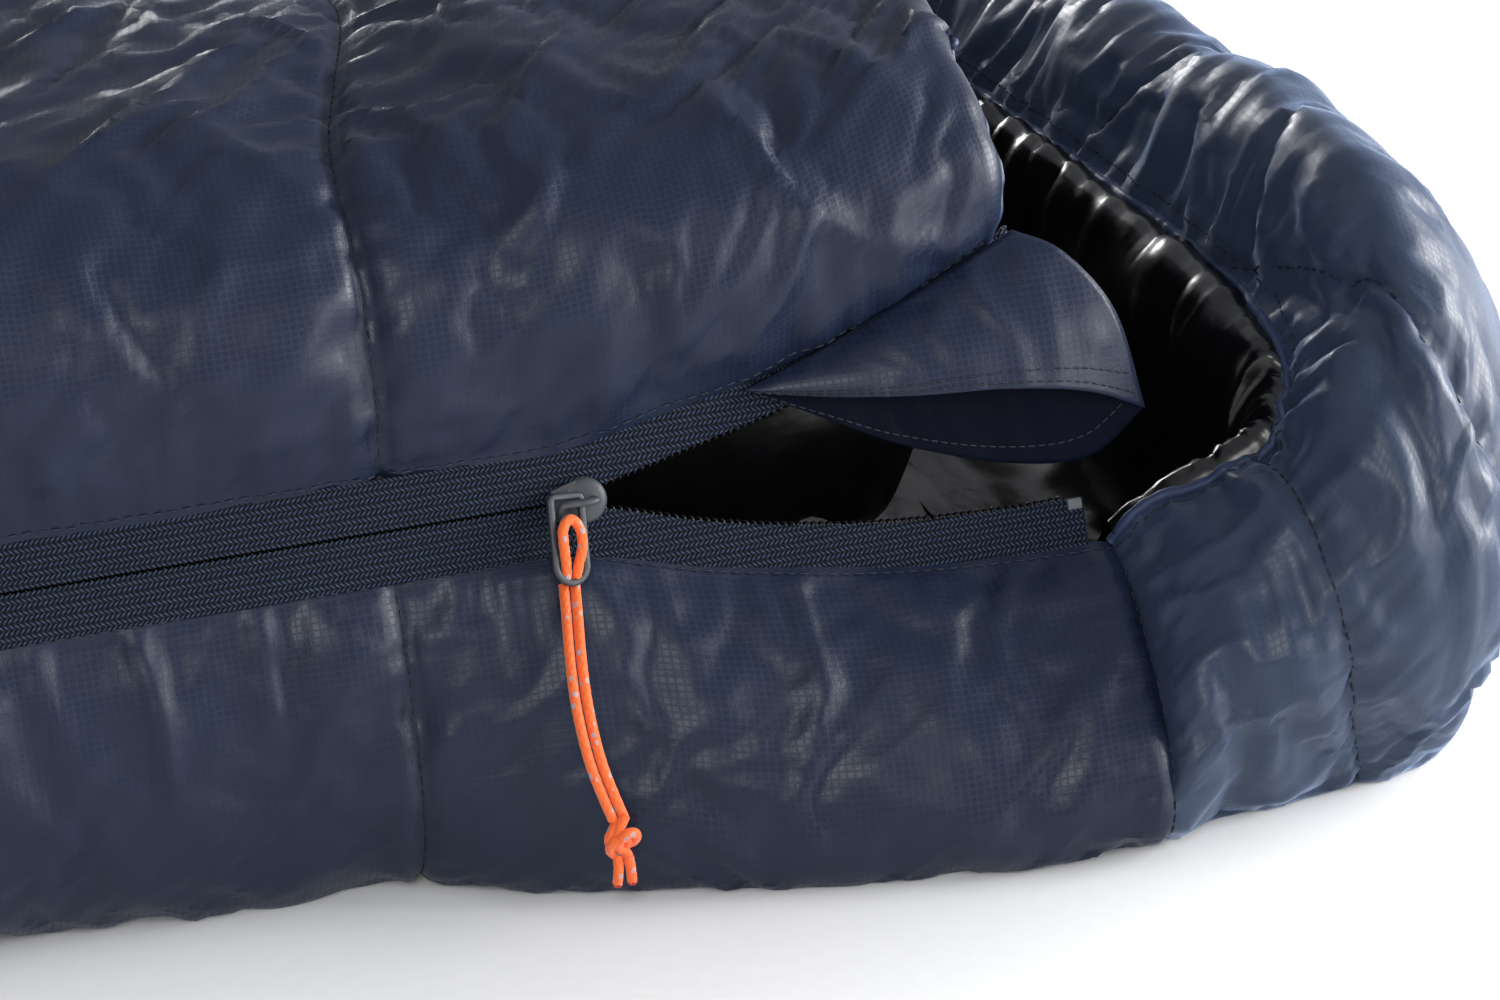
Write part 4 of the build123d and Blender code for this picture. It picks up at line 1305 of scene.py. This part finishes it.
def build_garage():
    count, rows = 60, 34
    attach = garage_edge([(682, 21, 2.0), (706, 29.5, 3.4), (733, 40.5, 4.2), (757, 51, 4.5)], count)
    front = garage_edge([(684, 20, 2.6), (701, 16.5, 8.5), (722, 13.8, 14.5), (746, 12.0, 17.0),
                         (768, 8.0, 15.0), (785, 1, 9.0)], count)
    rear = garage_edge([(686, 19, 1.6), (704, 9.5, 1.6), (722, 0.5, 1.8), (748, -8, 2.6),
                        (770, -9.5, 4.4), (785, 1, 8.4)], count)
    side_front = garage_edge([(757, 51, 4.5), (768, 44, 9.5), (779, 27, 12.5), (785, 1, 9.0)], rows)
    side_rear = garage_edge([(757, 51, 4.5), (768, 42, 6.0), (779, 25, 7.5), (785, 1, 8.4)], rows)
    part, down = np.linspace(0, 1, count)[:, None, None], np.linspace(0, 1, rows)[None, :, None]
    panels = []
    for hem, side, swell in ((front, side_front, 3.2), (rear, side_rear, -0.6)):
        ruled = attach[:, None] * (1 - down) + hem[:, None] * down
        gap = side[None, :] - (attach[-1] * (1 - down) + hem[-1] * down)
        grid = ruled + gap * part ** 3
        bulge = np.sin(math.pi * part[:, :, 0]) ** 0.7 * np.sin(math.pi * down[:, :, 0] ** 0.8)
        u, v = grid[:, :, 0], grid[:, :, 1]
        folds = creases(u, v, (690, 780, 0, 48), 16, 401 + int(swell), angle=(-70, 60),
                        length=(14, 40), width=(2, 5), height=0.9)
        folds += puckers(u, np.abs(down[:, :, 0]) * 30 + 0 * u, 411, 0.6)
        grid[:, :, 2] += swell * bulge + folds * ease(down[:, :, 0] * 8) * ease(
            (1 - part[:, :, 0]) * 12)
        panels.append(grid)
    outer = [zip_point(g[:, :, 0], g[:, :, 1], g[:, :, 2]) for g in panels]
    out = np.array((0, -math.cos(ZIP_TILT), math.sin(ZIP_TILT)))
    made = []
    for label, grid, flat in zip(("front", "rear"), outer, panels):
        normal = grid_normals(grid)
        normal *= np.sign((normal * out).sum())
        obj = add_slab(f"zip_garage_{label}", grid, grid - normal * 0.5)
        set_uv(obj.data, np.concatenate([flat[:, :, :2].reshape(-1, 2)] * 2))
        made.append(obj)
    # The rear panel gets the inside nylon, whose colour is darkened with painted shade.
    for obj in made:
        obj.data.materials.clear()
        obj.data.materials.append(MATERIALS["nylon" if obj is made[0] else "nylon_inside_painted_shade"])
    obj = join("zip_garage_cap", made)
    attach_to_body(obj, "bag")
    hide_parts("zip_garage")
    lines = []
    for grid, drops in ((outer[0], (0.955, 0.87)), (outer[1], (0.93,))):
        normal = grid_normals(grid)
        normal *= np.sign((normal * out).sum())
        for drop in drops:
            row = int(drop * (rows - 1))
            lines.append(grid[:-1, row] + normal[:-1, row] * THREAD_LIFT)
    stitches("garage_stitching", lines, "thread", pitch=2.6, length=1.9, radius=0.26)


# ---- draft tube ---------------------------------------------------------------------------------
def build_draft_tube():
    start, end = ZIP_START_X, DRAFT_END_X
    x = np.concatenate([np.arange(start, 540, 9.0), np.arange(540, end, 3.0), [end]])
    sides = 40
    turn = np.linspace(0, 2 * math.pi, sides, endpoint=False)
    close = np.minimum(ease((x - start) / 14) ** 0.5, ease((end - x) / 14) ** 0.5)[:, None]
    slack = 1 + 0.09 * noise(x[:, None] / 26, 3 * np.cos(turn) + 7, 501)
    slack = slack + 0.05 * ridged(x[:, None] / 9, 2 * np.sin(turn) + 5, 502)
    for name, scale, material, node in (("draft_tube_cover", 1.0, "lining", "draft_tube_shell"),
                                        ("draft_tube_batting", 0.82, "batting",
                                         "draft_tube_insulation")):
        reach_y = DRAFT_HALF_Y * scale * slack * close
        reach_z = DRAFT_HALF_Z * scale * slack * (0.4 + 0.6 * close)
        y = ZIP_Y + DRAFT_IN + reach_y * np.cos(turn)
        z = ZIP_Z - DRAFT_DROP + reach_z * np.sin(turn)
        points = np.stack(np.broadcast_arrays(x[:, None], y, z), 2)
        faces = grid_faces(len(x), sides, flip=True, close_columns=True)
        faces += [list(range(sides)), [(len(x) - 1) * sides + k for k in range(sides)][::-1]]
        uv = np.stack(np.broadcast_arrays(x[:, None], turn * 16), 2)
        obj = add_object(name, points.reshape(-1, 3), faces, uv.reshape(-1, 2))
        finish_piece(obj, material, "bag", nodes=[node])


# ---- trims --------------------------------------------------------------------------------------
def seam_lines(quilt, seams):
    lines = []
    for seam in seams:
        i = int(np.argmin(np.abs(quilt["x"] - seam)))
        lines.append(quilt["outer"][i, 2:-2] + quilt["normals"][i, 2:-2] * THREAD_LIFT)
    return lines


def hem_lines(quilt, row):
    return [quilt["outer"][:, row] + quilt["normals"][:, row] * THREAD_LIFT]


def build_trims(top, base):
    stitches("top_stitching", seam_lines(top, SEAMS) + hem_lines(top, 1), "thread")
    stitches("base_stitching", seam_lines(base, [NECK_X] + SEAMS) + hem_lines(base, 1), "thread")
    edge = top["roll"][0]
    line = at_lengths(edge, np.arange(0, run_lengths(edge)[-1], 2.0))
    gather = lambda angle, s: 0.3 * noise(s / 3.1, np.cos(angle) + 0.5, 601)
    obj = tube("top_neck_edge", line, 1.3, 8, gather)
    finish_piece(obj, "binding", "bag", nodes=["top_neck_binding"])


# ---- studio -------------------------------------------------------------------------------------
def area_light(name, place, target, size, power):
    data = bpy.data.lights.new(name, "AREA")
    data.shape, data.size, data.size_y = "RECTANGLE", size[0], size[1]
    data.energy = power
    light = bpy.data.objects.new(name, data)
    bpy.context.scene.collection.objects.link(light)
    light.location = place
    direction = Vector(target) - Vector(place)
    light.rotation_euler = direction.to_track_quat("-Z", "Y").to_euler()


def build_studio():
    corners = [(x * FLOOR_HALF, y * FLOOR_HALF, FLOOR_Z) for x, y in ((-1, -1), (1, -1), (1, 1), (-1, 1))]
    floor = add_object("floor", corners, [[0, 1, 2, 3]])
    floor.data.materials.append(MATERIALS["floor"])
    floor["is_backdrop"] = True
    world = bpy.data.worlds.new("studio")
    world.use_nodes = True
    world.node_tree.nodes["Background"].inputs[0].default_value = (0.93, 0.95, 1.0, 1)
    world.node_tree.nodes["Background"].inputs[1].default_value = 0.48
    bpy.context.scene.world = world
    area_light("front", (0.0, -2.1, 1.2), (0.6, -0.35, 0.1), (0.5, 0.9), 14)
    area_light("side", (1.8, -1.7, 0.5), (0.6, -0.35, 0.1), (0.35, 0.9), 9)
    area_light("right", (2.6, -0.5, 0.6), (0.8, -0.3, 0.08), (1.6, 0.8), 74)
    area_light("rear", (-0.1, 2.3, 0.36), (0.8, -0.1, 0.1), (3.0, 0.45), 84)
    bpy.context.scene.view_settings.view_transform = "Standard"


# ---- run ------------------------------------------------------------------------------------
add_camera()
build_pull()
top_quilt = build_top()
base_quilt = build_base()
build_hood(base_quilt)
build_tapes()
build_coils()
build_stops()
build_slider()
build_garage()
build_draft_tube()
build_trims(top_quilt, base_quilt)
build_studio()
final_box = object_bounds()
sizes = {"cad": [list(corner) for corner in cad_box],
         "visual": [list(corner) for corner in final_box]}
